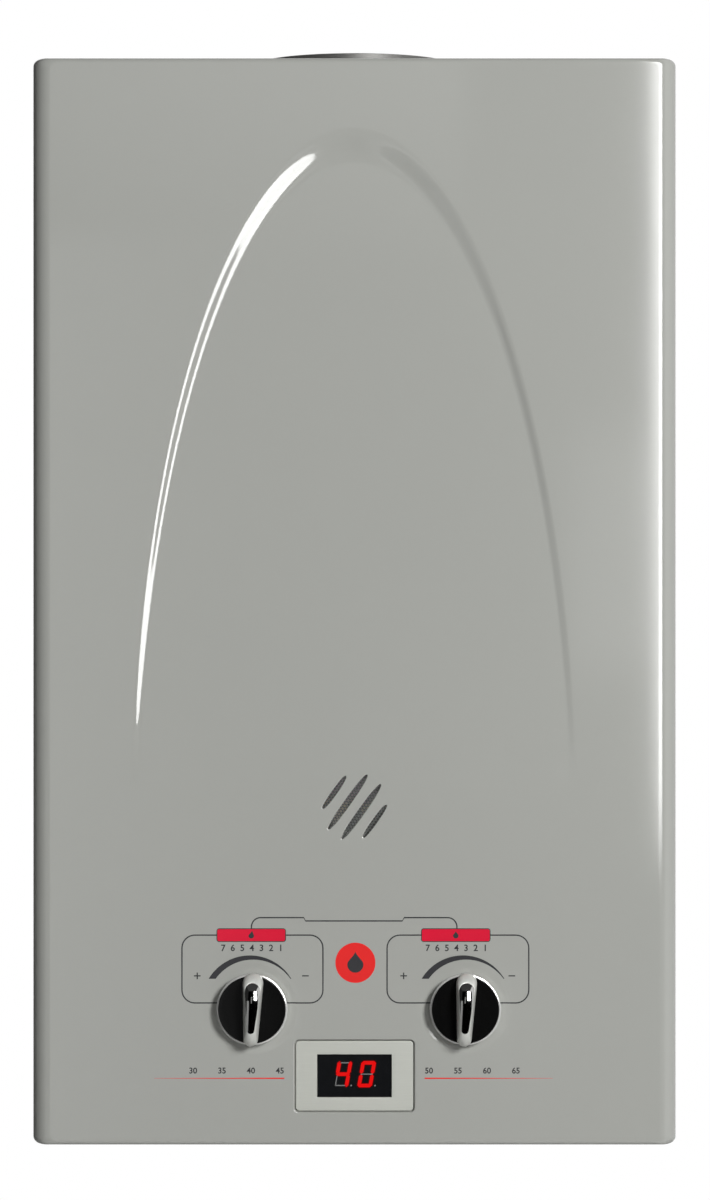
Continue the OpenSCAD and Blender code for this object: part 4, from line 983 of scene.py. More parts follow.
FINISHES: tuple[Finish, ...] = (
    Finish(
        "case_paint", (0.37, 0.375, 0.351), (0.362, 0.367, 0.344), (0.05, 0.07),
        grain_size=1.6, cloud=120.0, bump=0.05, bump_depth=0.004, dust=0.03,
    ),
    Finish(
        "bezel_plastic", (0.5, 0.51, 0.465), (0.44, 0.45, 0.41), (0.3, 0.42), metallic=0.1,
        grain=Grain.BRUSHED, grain_size=0.5, stretch=(40.0, 1.0, 1.0), bump=0.25, bump_depth=0.01,
        worn=(0.6, 0.61, 0.58), wear_width=0.3, wear=0.5,
    ),
    Finish(
        "smoked_window", (0.006, 0.0065, 0.007), (0.009, 0.0095, 0.011), (0.05, 0.09),
        cloud=12.0, bump=0.02,
    ),
    Board("circuit_board", (0.022, 0.1, 0.04), (0.03, 0.13, 0.055), (0.25, 0.4), cloud=9.0),
    # mesh_steel is dark steel made darker still as painted shade, for the shaded hollow behind the
    # vent's slots.
    Finish(
        "mesh_steel", (0.088, 0.091, 0.085), (0.068, 0.071, 0.068), (0.35, 0.5), metallic=0.2,
        grain_size=0.3, worn=(0.3, 0.3, 0.29), wear_width=0.15, wear=0.4,
    ),
    Finish(
        "zinc_sheet", (0.5, 0.52, 0.53), (0.68, 0.69, 0.7), (0.32, 0.55), metallic=0.85,
        grain=Grain.SPANGLE, grain_size=7.0, bump=0.08, bump_depth=0.03,
        worn=(0.75, 0.76, 0.77), wear_width=0.5, wear=0.5, dust=0.35,
    ),
    Finish(
        "flue_metal", (0.11, 0.11, 0.105), (0.16, 0.158, 0.15), (0.42, 0.54), metallic=0.6,
        grain=Grain.BRUSHED, grain_size=0.6, stretch=(30.0, 30.0, 1.0), bump=0.1, bump_depth=0.01,
        worn=(0.35, 0.35, 0.35), wear_width=0.5, wear=0.5, dust=0.2,
    ),
    Finish(
        "fastener_steel", (0.56, 0.56, 0.54), (0.68, 0.66, 0.6), (0.22, 0.36), metallic=1.0,
        grain_size=0.4, cloud=4.0, bump=0.1, worn=(0.82, 0.82, 0.8), wear_width=0.2,
    ),
    Finish(
        "copper", (0.74, 0.39, 0.25), (0.5, 0.22, 0.13), (0.2, 0.42), metallic=1.0,
        grain_size=2.0, cloud=28.0, bump=0.1, worn=(0.86, 0.52, 0.38), wear_width=0.3, wear=0.5,
    ),
    Finish(
        "brass", (0.66, 0.5, 0.22), (0.5, 0.36, 0.14), (0.24, 0.4), metallic=1.0,
        grain=Grain.BRUSHED, grain_size=0.35, stretch=(6.0, 6.0, 1.0), bump=0.12, bump_depth=0.01,
        worn=(0.8, 0.65, 0.36), wear_width=0.4,
    ),
    HeatTinted(
        "burner_steel", (0.34, 0.34, 0.33), (0.42, 0.41, 0.39), (0.28, 0.42), metallic=1.0,
        grain_size=1.2, cloud=35.0, worn=(0.6, 0.6, 0.58), wear_width=0.3,
        low_z=-125.0, high_z=-104.0,
    ),
    Finish(
        "tube_steel", (0.62, 0.63, 0.64), (0.5, 0.51, 0.52), (0.24, 0.38), metallic=1.0,
        grain_size=1.0, cloud=22.0, bump=0.08, worn=(0.8, 0.8, 0.8), wear_width=0.3,
    ),
    Finish(
        "cast_alloy", (0.55, 0.56, 0.56), (0.42, 0.43, 0.43), (0.38, 0.55), metallic=0.9,
        grain=Grain.CAST, grain_size=1.3, cloud=16.0, bump=0.5, bump_depth=0.06,
        worn=(0.74, 0.75, 0.75), wear_width=0.7, wear=0.8, dust=0.15,
    ),
    Finish(
        "white_ceramic", (0.78, 0.76, 0.7), (0.7, 0.67, 0.6), (0.5, 0.65), grain_size=0.3, cloud=8.0,
        bump=0.2, worn=(0.86, 0.85, 0.8), wear_width=0.3,
    ),
    Finish(
        "black_plastic", (0.022, 0.022, 0.023), (0.03, 0.03, 0.031), (0.38, 0.52), grain_size=0.25,
        bump=0.4, bump_depth=0.01, worn=(0.09, 0.09, 0.09), wear_width=0.35, wear=0.5, dust=0.12,
    ),
    Finish(
        "grey_plastic", (0.3, 0.31, 0.33), (0.26, 0.27, 0.29), (0.38, 0.5), grain_size=0.25,
        bump=0.4, bump_depth=0.01, worn=(0.42, 0.43, 0.45), wear_width=0.4, wear=0.5, dust=0.15,
    ),
    Finish(
        "cell_wrap", (0.05, 0.08, 0.125), (0.07, 0.1, 0.15), (0.16, 0.26), grain_size=0.6, cloud=14.0,
        worn=(0.3, 0.32, 0.34), wear_width=0.3, wear=0.4, coat=0.4,
    ),
    Finish(
        "knob_black", (0.003, 0.003, 0.003), (0.005, 0.005, 0.005), (0.04, 0.07),
        grain_size=0.6, bump=0.02, bump_depth=0.003,
    ),
    Finish(
        "knob_chrome", (0.72, 0.72, 0.7), (0.66, 0.66, 0.64), (0.1, 0.14), metallic=0.45,
        grain_size=0.5, cloud=6.0, bump=0.05, bump_depth=0.004,
    ),
    Finish(
        "satin_silver", (0.61, 0.62, 0.585), (0.56, 0.57, 0.54), (0.3, 0.4), metallic=0.2,
        grain_size=0.4, cloud=6.0, bump=0.1, bump_depth=0.006,
        worn=(0.66, 0.66, 0.65), wear_width=0.25,
    ),
    Finish.ink("print_grey", (0.038, 0.038, 0.042), (0.05, 0.05, 0.054)),
    Finish.ink("print_red", (0.72, 0.013, 0.045), (0.64, 0.011, 0.038)),
    Finish.ink("print_orange", (0.8, 0.03, 0.028), (0.74, 0.026, 0.026)),
    Lit("digit_lit", (0.05, 0.001, 0.001), (0.04, 0.001, 0.001), (0.1, 0.2), glow=1.0),
    # digit_halo is painted glow: a faint lit band round each lit segment stands in for the light that
    # spreads through the smoked window.
    Lit("digit_halo", (0.02, 0.0, 0.0), (0.015, 0.0, 0.0), (0.1, 0.2), light=(0.07, 0.001, 0.001)),
    Finish("digit_unlit", (0.15, 0.15, 0.15), (0.12, 0.12, 0.12), (0.4, 0.5)),
    Finish(
        "chrome_mirror", (0.5, 0.5, 0.49), (0.46, 0.46, 0.45), (0.06, 0.09), metallic=1.0, bump=0.0,
    ),
)


class Palette:
    """All finishes as materials, by name."""

    def __init__(self, finishes: Iterable[Finish]) -> None:
        """Build every finish once."""
        effects = Effects()
        self.materials = {finish.name: finish.build(effects) for finish in finishes}

    def __getitem__(self, name: str) -> bpy.types.Material:
        """Give a finish by its name."""
        return self.materials[name]


@dataclass
class Arch:
    """The pressed arch of the cover: an ellipse with a rolled flank and a tilted floor."""

    x: float = -0.25
    foot_z: float = -135.0
    rise: float = 391.0
    half_w: float = 121.85
    depth: float = 2.6
    flank_side: float = 4.36
    flank_top: float = 16.5
    fade: float = 30.0
    bulge: float = 0.65
    ease: float = 0.06
    shoulder: float = 0.39
    outer_share: float = -0.1
    inner_share: float = 1.1
    first_angle: float = 2.0
    steps: int = 241
    shares: tuple[float, ...] = (
        -0.4, -0.22, -0.1, -0.02, 0.06, 0.14, 0.22, 0.3, 0.4, 0.5,
        0.6, 0.7, 0.78, 0.86, 0.94, 1.02, 1.1, 1.22, 1.4,
    )

    def share(self, x: Array, z: Array) -> Array:
        """Give how far across the flank a point of the front lies, 0 at its rim and 1 at its floor."""
        low = np.full(np.shape(x), -2.0)
        high = np.full(np.shape(x), 4.0)
        for _ in range(40):
            middle = (low + high) / 2.0
            wide = self.half_w - middle * self.flank_side
            tall = self.rise - middle * self.flank_top
            inside = ((x - self.x) / wide) ** 2 + ((z - self.foot_z) / tall) ** 2 < 1.0
            low = np.where(inside, middle, low)
            high = np.where(inside, high, middle)
        return (low + high) / 2.0

    def floor(self, z: Array) -> Array:
        """Give the depth of the tilted floor at a height."""
        low = self.foot_z + self.fade
        high = self.foot_z + self.rise - self.flank_top
        t = np.clip((z - low) / (high - low), 0.0, None)
        return self.depth * t**self.bulge * smooth_step(t / self.ease)

    def across(self, t: Array) -> Array:
        """Give the flank's section: a straight slope between two round shoulders."""
        t = np.clip(t, 0.0, 1.0)
        slope = 1.0 / (1.0 - self.shoulder)
        near = slope * t**2 / (2.0 * self.shoulder)
        far = 1.0 - slope * (1.0 - t) ** 2 / (2.0 * self.shoulder)
        straight = slope * (t - self.shoulder / 2.0)
        return np.where(t < self.shoulder, near, np.where(t > 1.0 - self.shoulder, far, straight))

    def depth_at(self, x: Array, z: Array) -> Array:
        """Give how deep the front is pressed in at a point."""
        share = (self.share(x, z) - self.outer_share) / (self.inner_share - self.outer_share)
        return self.floor(z) * self.across(share)

    def ring(self, share: float) -> Array:
        """Give points along the flank, from its left foot over the apex to its right foot."""
        start = math.radians(self.first_angle)
        angles = np.linspace(math.pi - start, start, self.steps)
        x = self.x + (self.half_w - share * self.flank_side) * np.cos(angles)
        z = self.foot_z + (self.rise - share * self.flank_top) * np.sin(angles)
        return np.stack([x, z], axis=1)


def rounded_outline(
    half_w: float, half_h: float, radius: float, steps: int = 8, side: int = 6
) -> Array:
    """Give a rectangle with round corners, anticlockwise from the right end of its top.

    Args:
        half_w: Half its width.
        half_h: Half its height.
        radius: Radius of its corners.
        steps: Number of steps in a corner.
        side: Number of steps along a side.

    Returns:
        Rows of two coordinates.
    """
    points = []
    for sx, sz, first in ((1, 1, 0.0), (-1, 1, 90.0), (-1, -1, 180.0), (1, -1, 270.0)):
        centre = (sx * (half_w - radius), sz * (half_h - radius))
        points.extend(np.array(point) for point in arc(centre, radius, first, first + 90.0, steps))
    loop = []
    for index, point in enumerate(points):
        loop.append(point)
        if index % (steps + 1) == steps:
            following = points[(index + 1) % len(points)]
            loop.extend(point + (following - point) * k / side for k in range(1, side))
    return np.array(loop)


@dataclass
class PressedCover:
    """The lacquered steel cover with its arch, dishes, pocket, slots and rolled edges."""

    palette: Palette
    sheet: float = 1.0
    side_r: float = 10.0
    edge_r: float = 2.5
    corner_r: float = 4.0
    lip: float = 14.0
    arch: Arch = field(default_factory=Arch)
    dish_r: float = 25.4
    dish_floor_r: float = 20.6
    dish_depth: float = 0.4
    dish_rings: int = 12
    dish_steps: int = 96
    spindle_hole_r: float = 5.75
    pocket_roll: float = 0.9
    pocket_wall: float = 0.25
    pocket_gap: float = 0.3
    pocket_corner_r: float = 3.4
    pocket_foot_r: float = 0.45
    pocket_lean: float = 80.0
    notch_r: float = 57.0
    vent_z: float = -111.5
    slot_slope: float = 54.6
    slot_pitch: float = 9.0
    slot_lengths: tuple[float, ...] = (21.6, 36.3, 36.3, 21.6)
    slot_widths: tuple[float, ...] = (2.9, 3.6, 3.6, 2.9)
    slot_power: float = 2.4
    slot_steps: int = 48
    slot_roll: float = 0.5
    slot_lean: float = 0.57
    slot_past: float = 1.05
    slot_rings: tuple[float, ...] = (0.08, 0.17, 0.27, 0.38, 0.55, 0.75, 1.1)
    slope_step: float = 0.02
    screw_z: float = 200.6
    screw_back: float = 9.0
    screw_slot_r: float = 2.3

    def __post_init__(self) -> None:
        """Read the cover's size and the places of what it holds from the frame."""
        case = Extent.of("front_cover")
        self.half_w, self.rear, self.half_h = case.high
        self.front = case.low[1]
        discs = [Extent.of(f"{knob}_disc").middle for knob in ("gas_knob", "water_knob")]
        self.knobs = [(middle[0], middle[2]) for middle in discs]
        bezel, window = Extent.of("display_bezel"), Extent.of("display_window")
        self.pocket_z = bezel.middle[2]
        self.pocket_half_w = bezel.high[0] + self.pocket_gap
        self.pocket_half_h = bezel.half[2] + self.pocket_gap
        self.pocket_depth = bezel.high[1] - self.front
        self.opening_half_w = window.high[0]
        self.opening_half_h = window.half[2]
        self.flue_y = Extent.of("flue_collar").middle[1]

    def pocket_profile(self) -> tuple[Array, Array]:
        """Give the pocket's section: distances inward from its outer line, and depths."""
        roll, depth, foot = self.pocket_roll, self.pocket_depth, self.pocket_foot_r
        angles = np.radians([0, 15, 30, 45, 60, 72, self.pocket_lean])
        inward = list(roll * np.sin(angles))
        down = list(roll - roll * np.cos(angles))
        wall = roll + self.pocket_wall * 0.6
        inward.append(wall)
        down.append(depth - foot)
        lean = math.radians(self.pocket_lean)
        for share in (0.35, 0.7, 1.0):
            angle = lean * (1.0 - share)
            inward.append(wall + foot * (math.sin(lean) - math.sin(angle)) + 0.02)
            down.append(depth - foot * (1.0 - math.cos(angle)))
        return np.array(inward), np.array(down)

    def pocket_inset(self, x: Array, z: Array) -> Array:
        """Give how far inside the pocket's outer line a point lies."""
        radius = self.pocket_corner_r
        reach = self.pocket_roll + self.pocket_wall
        dx = np.abs(x) - (self.pocket_half_w + reach - radius)
        dz = np.abs(z - self.pocket_z) - (self.pocket_half_h + reach - radius)
        outside = np.hypot(np.maximum(dx, 0.0), np.maximum(dz, 0.0))
        return radius - outside - np.minimum(np.maximum(dx, dz), 0.0)

    def depth(self, x: Array, z: Array) -> Array:
        """Give how far the front is pressed in at a point."""
        total = self.arch.depth_at(x, z)
        for knob_x, knob_z in self.knobs:
            radius = np.hypot(x - knob_x, z - knob_z)
            across = (self.dish_r - radius) / (self.dish_r - self.dish_floor_r)
            total = total + self.dish_depth * smooth_step(across)
        for index in range(len(self.slot_lengths)):
            share = np.clip(1.0 - self.slot_gap(index, x, z) / self.slot_roll, 0.0, self.slot_past)
            share = share * self.slot_lean
            total = total + self.slot_roll / self.slot_lean * (1.0 - np.sqrt(1.0 - share**2))
        inward, down = self.pocket_profile()
        return total + np.interp(self.pocket_inset(x, z), inward, down, left=0.0)

    def slot_offset(self, index: int) -> float:
        """Give how far across a slot lies from the vent's middle."""
        return (index - (len(self.slot_lengths) - 1) / 2.0) * self.slot_pitch

    def slot_gap(self, index: int, x: Array, z: Array) -> Array:
        """Give about how far outside a slot's outline a point lies."""
        power = self.slot_power
        length, width = 2.0 / self.slot_lengths[index], 2.0 / self.slot_widths[index]
        turn = math.radians(self.slot_slope)
        up = z - self.vent_z
        u = np.abs(x * math.cos(turn) + up * math.sin(turn)) * length
        v = up * math.cos(turn) - x * math.sin(turn) - self.slot_offset(index)
        v = np.abs(v) * width
        level = np.maximum(u**power + v**power, TINY) ** (1.0 / power)
        steep = np.hypot(u ** (power - 1.0) * length, v ** (power - 1.0) * width)
        return (level - 1.0) * level ** (power - 1.0) / np.maximum(steep, TINY)

    def front_points(self, places: Array, above: float = 0.0) -> tuple[Array, Array]:
        """Lift places of the front onto its pressed face.

        Args:
            places: Rows of x and z.
            above: Distance in front of the face.

        Returns:
            The points and their outward normals.
        """
        x, z = places[:, 0], places[:, 1]
        step = self.slope_step
        slope_x = (self.depth(x + step, z) - self.depth(x - step, z)) / (2.0 * step)
        slope_z = (self.depth(x, z + step) - self.depth(x, z - step)) / (2.0 * step)
        points = np.stack([x, self.front + self.depth(x, z) - above, z], axis=1)
        normals = unit(np.stack([slope_x, -np.ones(len(x)), slope_z], axis=1))
        return points, normals

    def leaf(self, index: int, grow: float = 0.0) -> Array:
        """Give the outline of one slot, a superellipse, anticlockwise, or a line round it."""
        angles = np.arange(self.slot_steps) * (2.0 * math.pi / self.slot_steps)
        halves = (self.slot_lengths[index] / 2.0 + grow, self.slot_widths[index] / 2.0 + grow)
        along, across = (
            np.sign(wave) * np.abs(wave) ** (2.0 / self.slot_power) * half
            for wave, half in zip((np.cos(angles), np.sin(angles)), halves)
        )
        loop = np.stack([along, across + self.slot_offset(index)], axis=1)
        return turned(loop, self.slot_slope) + np.array([0.0, self.vent_z])

    def holes(self) -> list[Array]:
        """Give the outlines of what is cut through the front."""
        loops = [circle(x, z, self.spindle_hole_r, 48) for x, z in self.knobs]
        loops.extend(self.leaf(index) for index in range(len(self.slot_lengths)))
        opening = rounded_outline(self.opening_half_w, self.opening_half_h, 0.8, 4, 4)
        loops.append(opening + np.array([0.0, self.pocket_z]))
        return loops

    def outline(self, back: float) -> Array:
        """Give the cover's outline at a distance behind its front, anticlockwise in x and z."""
        side = self.side_r - math.sqrt(max(self.side_r**2 - max(self.side_r - back, 0.0) ** 2, 0.0))
        edge = self.edge_r - math.sqrt(max(self.edge_r**2 - max(self.edge_r - back, 0.0) ** 2, 0.0))
        r = self.corner_r
        half_w, half_h = self.half_w - side - r, self.half_h - edge - r
        return np.array(
            [
                (sx * (half_w + r * math.cos(angle)), sz * (half_h + r * math.sin(angle)))
                for sx, sz, angle in self.corner_points()
            ]
        )

    def corner_points(self) -> list[tuple[int, int, float]]:
        """Give the two signs and the angle of each point of the cover's outline."""
        angles = self.corner_angles()
        corners = ((1, 1, 1), (-1, 1, -1), (-1, -1, 1), (1, -1, -1))
        return [(sx, sz, angle) for sx, sz, order in corners for angle in angles[::order]]

    def corner_angles(self) -> list[float]:
        """Give the angles of a corner's points, with one where the bottom lip ends."""
        cut = math.acos(1.0 - self.sheet / self.corner_r)
        rest = math.pi / 2 - cut
        return [cut * k / 4 for k in range(5)] + [cut + rest * k / 5 for k in range(1, 6)]

    def outline_normals(self, back: float) -> Array:
        """Give the outward normals along the outline at a distance behind the front."""
        lean_side = max(self.side_r - back, 0.0) / self.side_r
        lean_edge = max(self.edge_r - back, 0.0) / self.edge_r
        side = lean_side / math.sqrt(max(1.0 - lean_side**2, TINY))
        edge = lean_edge / math.sqrt(max(1.0 - lean_edge**2, TINY))
        normals = []
        for sx, sz, angle in self.corner_points():
            c, s = math.cos(angle), math.sin(angle)
            normals.append((sx * c, -(c * side + s * edge), sz * s))
        return unit(np.array(normals))

    def front_skin(self) -> Shape:
        """Build the pressed front as triangles between rings that follow its forms."""
        rings = [(self.outline(0.0), True)]
        rings.extend((self.arch.ring(share), False) for share in self.arch.shares)
        for x, z in self.knobs:
            radii = np.linspace(self.dish_r + 0.2, self.dish_floor_r - 0.2, self.dish_rings)
            rings.extend((circle(x, z, radius, self.dish_steps), True) for radius in radii)
        radius = self.pocket_corner_r
        reach = self.pocket_roll + self.pocket_wall
        insets = self.pocket_profile()[0]
        for inset in (-0.15, *insets, insets[-1] + 0.2):
            half_w, half_h = self.pocket_half_w + reach - inset, self.pocket_half_h + reach - inset
            loop = rounded_outline(half_w, half_h, radius - min(inset, radius - 0.4), 10, 8)
            rings.append((loop + np.array([0.0, self.pocket_z]), True))
        holes = self.holes()
        rings.extend((loop, True) for loop in holes)
        for index in range(len(self.slot_lengths)):
            rings.extend((self.leaf(index, grow), True) for grow in self.slot_rings)
        flat, triangles = triangulate(rings, holes, NEAR)
        corners = flat[triangles]
        area = np.cross(corners[:, 1] - corners[:, 0], corners[:, 2] - corners[:, 0])
        real = np.abs(area) > SLIVER
        triangles, area = triangles[real], area[real]
        triangles = np.where(area[:, None] > 0, triangles, triangles[:, ::-1])
        points, normals = self.front_points(flat)
        return Shape.of(points, [tuple(int(i) for i in t) for t in triangles], normals)

    def edge_skin(self) -> Shape:
        """Build the rolled edges down to the bottom lip."""
        backs = [self.side_r * (1.0 - math.cos(math.radians(a))) for a in range(0, 91, 5)]
        backs = sorted(backs + [self.edge_r, self.lip])
        rows = [upright(self.outline(back), self.front + back) for back in backs]
        normals = [self.outline_normals(back) for back in backs]
        faces = [face[::-1] for face in grid_faces(len(rows), len(rows[0]), closed=True)]
        return Shape.of(np.vstack(rows), faces, np.vstack(normals))

    def wall_skin(self) -> Shape:
        """Build the walls behind the lip: corners, slotted sides, and the top with its notch."""
        shape = self.corner_strips()
        for wall in (self.side_wall(1.0), self.side_wall(-1.0), self.top_wall()):
            shape.join(wall)
        return shape

    def corner_strips(self) -> Shape:
        """Build the corners of the walls from the lip to the rear edge."""
        loop = self.outline(self.lip)
        normals = self.outline_normals(self.side_r)
        per = len(self.corner_angles())
        spans = [(0, per), (per, 2 * per), (2 * per, 2 * per + 5), (4 * per - 5, 4 * per)]
        shape = Shape()
        for first, last in spans:
            part, lean = loop[first:last], normals[first:last]
            rows = [upright(part, y) for y in (self.front + self.lip, self.rear)]
            faces = [face[::-1] for face in grid_faces(2, len(part))]
            shape.add(np.vstack(rows), faces, np.vstack([lean, lean]))
        return shape

    def flat_wall(
        self, outline: Array, lift: Callable[[Array], Array], normal: Sequence[float]
    ) -> Shape:
        """Fill an outline with triangles and lift it into place.

        Args:
            outline: The outline in the wall's own plane.
            lift: Turns rows of two coordinates into points.
            normal: The wall's outward normal.

        Returns:
            The wall.
        """
        places = [Vector(point) for point in outline]
        made = delaunay_2d_cdt(places, [], [list(range(len(places)))], 1, NEAR)
        flat = np.array([tuple(point) for point in made[0]])
        points = lift(flat)
        faces = []
        for face in made[2]:
            a, b, c = points[face[0]], points[face[1]], points[face[2]]
            forward = float(np.dot(np.cross(b - a, c - a), normal)) > 0
            faces.append(tuple(face) if forward else tuple(reversed(face)))
        return Shape.of(points, faces, np.repeat(np.array([normal]), len(points), axis=0))

    def side_wall(self, side: float) -> Shape:
        """Build a side wall behind the lip, with its two slots for the cover's screws."""
        near, far = self.front + self.lip, self.rear
        top = self.half_h - self.corner_r
        line = [(near, -top), (far, -top)]
        for z in (-self.screw_z, self.screw_z):
            line.append((far, z - self.screw_slot_r))
            line.extend(arc((-self.screw_back, z), self.screw_slot_r, -90.0, -270.0, 12))
            line.append((far, z + self.screw_slot_r))
        line.extend([(far, top), (near, top)])

        def lift(flat: Array) -> Array:
            """Stand the wall at the case's side."""
            return np.column_stack([np.full(len(flat), side * self.half_w), flat])

        return self.flat_wall(np.array(line), lift, (side, 0.0, 0.0))

    def top_wall(self) -> Shape:
        """Build the top wall behind the lip, with its notch for the flue."""
        near, far = self.front + self.lip, self.rear
        edge = self.half_w - self.corner_r
        line = [(-edge, near), (edge, near), (edge, far), (self.notch_r, far)]
        line.extend(arc((0.0, self.flue_y), self.notch_r, 0.0, -180.0, 48))
        line.extend([(-self.notch_r, far), (-edge, far)])

        def lift(flat: Array) -> Array:
            """Lay the wall on top of the case."""
            return np.column_stack([flat, np.full(len(flat), self.half_h)])

        return self.flat_wall(np.array(line), lift, (0.0, 0.0, 1.0))

    def build(self) -> bpy.types.Object:
        """Build the cover and put it in the frame."""
        skin = self.front_skin()
        skin.join(self.edge_skin())
        skin.join(self.wall_skin())
        skin = skin.merged()
        obj = skin_object("cover_pressing", skin, self.sheet, self.palette["case_paint"])
        return place(obj, "front_cover", "case_paint", "front_cover")


@dataclass
class PrintedPanel:
    """The screen print round the knobs and the display: lines, bars, arcs and plain signs."""

    palette: Palette
    cover: PressedCover
    ink: float = 0.03
    line: float = 0.7
    box_top: float = -181.1
    box_bottom: float = -217.9
    box_r: float = 7.0
    bar_half_w: float = 18.4
    bar_half_h: float = 3.25
    disc_z: float = -196.1
    disc_x: float = 0.5
    disc_r: float = 10.9
    bold: float = 0.085
    plus_x: tuple[float, float] = (-85.3, 26.7)
    minus_x: tuple[float, float] = (-26.6, 85.4)
    sign_z: float = -203.2
    sign_half: float = 1.8
    sign_line: float = 0.65
    boxes: tuple[tuple[float, float], ...] = ((-93.6, -17.1), (17.7, 94.6))
    centres: tuple[float, float] = (-56.0, 55.0)
    bar_r: float = 1.0
    bar_rim: float = 0.45
    cap_share: float = 0.69
    link_top: float = -171.6
    link_r: float = 5.0
    link_ends: tuple[float, float] = (-55.9, 55.6)
    link_dip: tuple[tuple[float, float], ...] = (
        (-27.5, -171.6),
        (-26.5, -173.4),
        (26.0, -173.4),
        (27.0, -171.6),
    )
    crescent_rims: tuple[tuple[float, float, float], ...] = (
        (-1.2, -218.3, 26.2),
        (0.5, -219.4, 25.0),
    )
    crescent_low: float = -204.8
    crescent_steps: int = 48
    line_ends: tuple[tuple[float, float], ...] = ((-38.0, -108.7), (38.1, 107.7))
    line_z: float = -258.8
    scales: tuple[tuple[float, str], ...] = (
        (-64.0, "30         35         40         45"),
        (64.0, "50         55         60         65"),
    )
    scale_z: float = -254.6
    scale_h: float = 3.1
    steps_text: str = "7  6  5  4  3  2  1"
    steps_z: float = -188.0
    steps_h: float = 3.4

    def decal(
        self, name: str, outlines: Sequence[Array], finish: str, lift: float = 0.0
    ) -> bpy.types.Object:
        """Lay a printed form on the cover's face.

        Args:
            name: The piece's name.
            outlines: Quads or other convex outlines in x and z, anticlockwise.
            finish: The ink.
            lift: Number of ink layers under it.

        Returns:
            The printed piece.
        """
        flat = Shape()
        for outline in outlines:
            rows = np.array(outline)
            flat.add(np.column_stack([rows, np.zeros(len(rows))]), [tuple(range(len(rows)))])
        flat = flat.merged()
        places = np.array(flat.points)[:, :2]
        points, normals = self.cover.front_points(places, self.ink * (1.0 + lift))
        faces = []
        for face in flat.faces:
            x, z = places[list(face)].T
            area = float(np.sum(x * np.roll(z, -1) - np.roll(x, -1) * z))
            faces.append(face if area > 0 else face[::-1])
        shape = Shape.of(points, faces, normals)
        obj = skin_object(name, shape, self.ink * (1.5 + lift), self.palette[finish])
        return place(obj, "front_cover", "case_paint")

    def stroke(self, path: Array, widths: object, closed: bool = False) -> list[Array]:
        """Give the quads of a line along a path.

        Args:
            path: Rows of x and z.
            widths: One width, or one for each point.
            closed: Whether the path is a loop.

        Returns:
            The quads.
        """
        widths = np.broadcast_to(np.asarray(widths, float), (len(path),))
        if closed:
            ahead, behind = np.roll(path, -1, axis=0), np.roll(path, 1, axis=0)
        else:
            ahead = np.vstack([path[1:], path[-1:]])
            behind = np.vstack([path[:1], path[:-1]])
        along = unit(ahead - behind)
        across = np.stack([-along[:, 1], along[:, 0]], axis=1) * widths[:, None] / 2.0
        left, right = path + across, path - across
        count = len(path)
        last = count if closed else count - 1
        return [
            np.array([right[k], right[(k + 1) % count], left[(k + 1) % count], left[k]])
            for k in range(last)
        ]

    def even(self, path: Array, step: float = 1.5) -> Array:
        """Spread points evenly along a path."""
        lengths = np.concatenate([[0.0], np.cumsum(np.linalg.norm(np.diff(path, axis=0), axis=1))])
        count = max(int(lengths[-1] / step), 1)
        wanted = np.linspace(0.0, lengths[-1], count + 1)
        return np.stack([np.interp(wanted, lengths, path[:, k]) for k in range(2)], axis=1)

    def box(self, left: float, right: float) -> list[Array]:
        """Give the rounded box of thin lines round a knob."""
        half_w, half_h = (right - left) / 2.0, (self.box_top - self.box_bottom) / 2.0
        loop = rounded_outline(half_w, half_h, self.box_r, 8, 44)
        loop += np.array([(left + right) / 2.0, (self.box_top + self.box_bottom) / 2.0])
        return self.stroke(loop, self.line, closed=True)

    def crescent(self, x: float) -> list[Array]:
        """Give the tapering arc above a knob, thick at its left end."""
        rims = []
        for shift, z, radius in self.crescent_rims:
            end = math.degrees(math.asin((self.crescent_low - z) / radius))
            rims.append(arc((x + shift, z), radius, 180.0 - end, end, self.crescent_steps))
        far, near = rims
        steps = range(self.crescent_steps)
        return [np.array([near[k], near[k + 1], far[k + 1], far[k]]) for k in steps]

    def bar(self, x: float, grow: float = 0.0) -> Array:
        """Give the outline of a rounded bar, or a line round it."""
        half_w, half_h = self.bar_half_w + grow, self.bar_half_h + grow
        loop = rounded_outline(half_w, half_h, self.bar_r + grow, 4, 1)
        return loop + np.array([x, self.box_top])

    def link(self, left: float, right: float) -> list[Array]:
        """Give the line that joins the two bars over the middle."""
        top, radius = self.link_top, self.link_r
        foot = self.box_top + self.bar_half_h
        path = [(left, foot), *arc((left + radius, top - radius), radius, 180.0, 90.0, 8)]
        path.extend(self.link_dip)
        path.extend(arc((right - radius, top - radius), radius, 90.0, 0.0, 8))
        return self.stroke(np.array([*path, (right, foot)]), self.line)

    def underline(self, near: float, far: float) -> list[Array]:
        """Give a thin line that tapers away from the display."""
        path = self.even(np.array([(near, self.line_z), (far, self.line_z)]), 4.0)
        return self.stroke(path, np.linspace(0.75, 0.12, len(path)))

    def drop(
        self,
        x: float,
        z: float,
        size: float,
        power: int = 3,
        pinch: float = 0.9,
        pull: float = 0.6,
        lean: float = 0.0,
    ) -> list[Array]:
        """Give a plain sign, round at its foot and drawn to a point: a water drop or a flame.

        Args:
            x: Place of its middle.
            z: Place of its middle.
            size: Radius of its foot.
            power: How late the narrowing begins.
            pinch: How narrow its top gets.
            pull: How far its top is drawn up.
            lean: How far its top is drawn aside.

        Returns:
            The triangles.
        """
        points = []
        for k in range(25):
            angle = -math.pi / 2 + 2.0 * math.pi * k / 25
            up = max(math.sin(angle), 0.0) ** power
            across = size * math.cos(angle) * (1.0 - pinch * up) + lean * size * up
            points.append((x + across, z + size * math.sin(angle) * (1.0 + pull * up)))
        return self.fan(np.array(points), (x, z))

    @staticmethod
    def fan(loop: Array, centre: tuple[float, float]) -> list[Array]:
        """Fill a loop with triangles from a centre."""
        return [np.array([loop[k], loop[(k + 1) % len(loop)], centre]) for k in range(len(loop))]

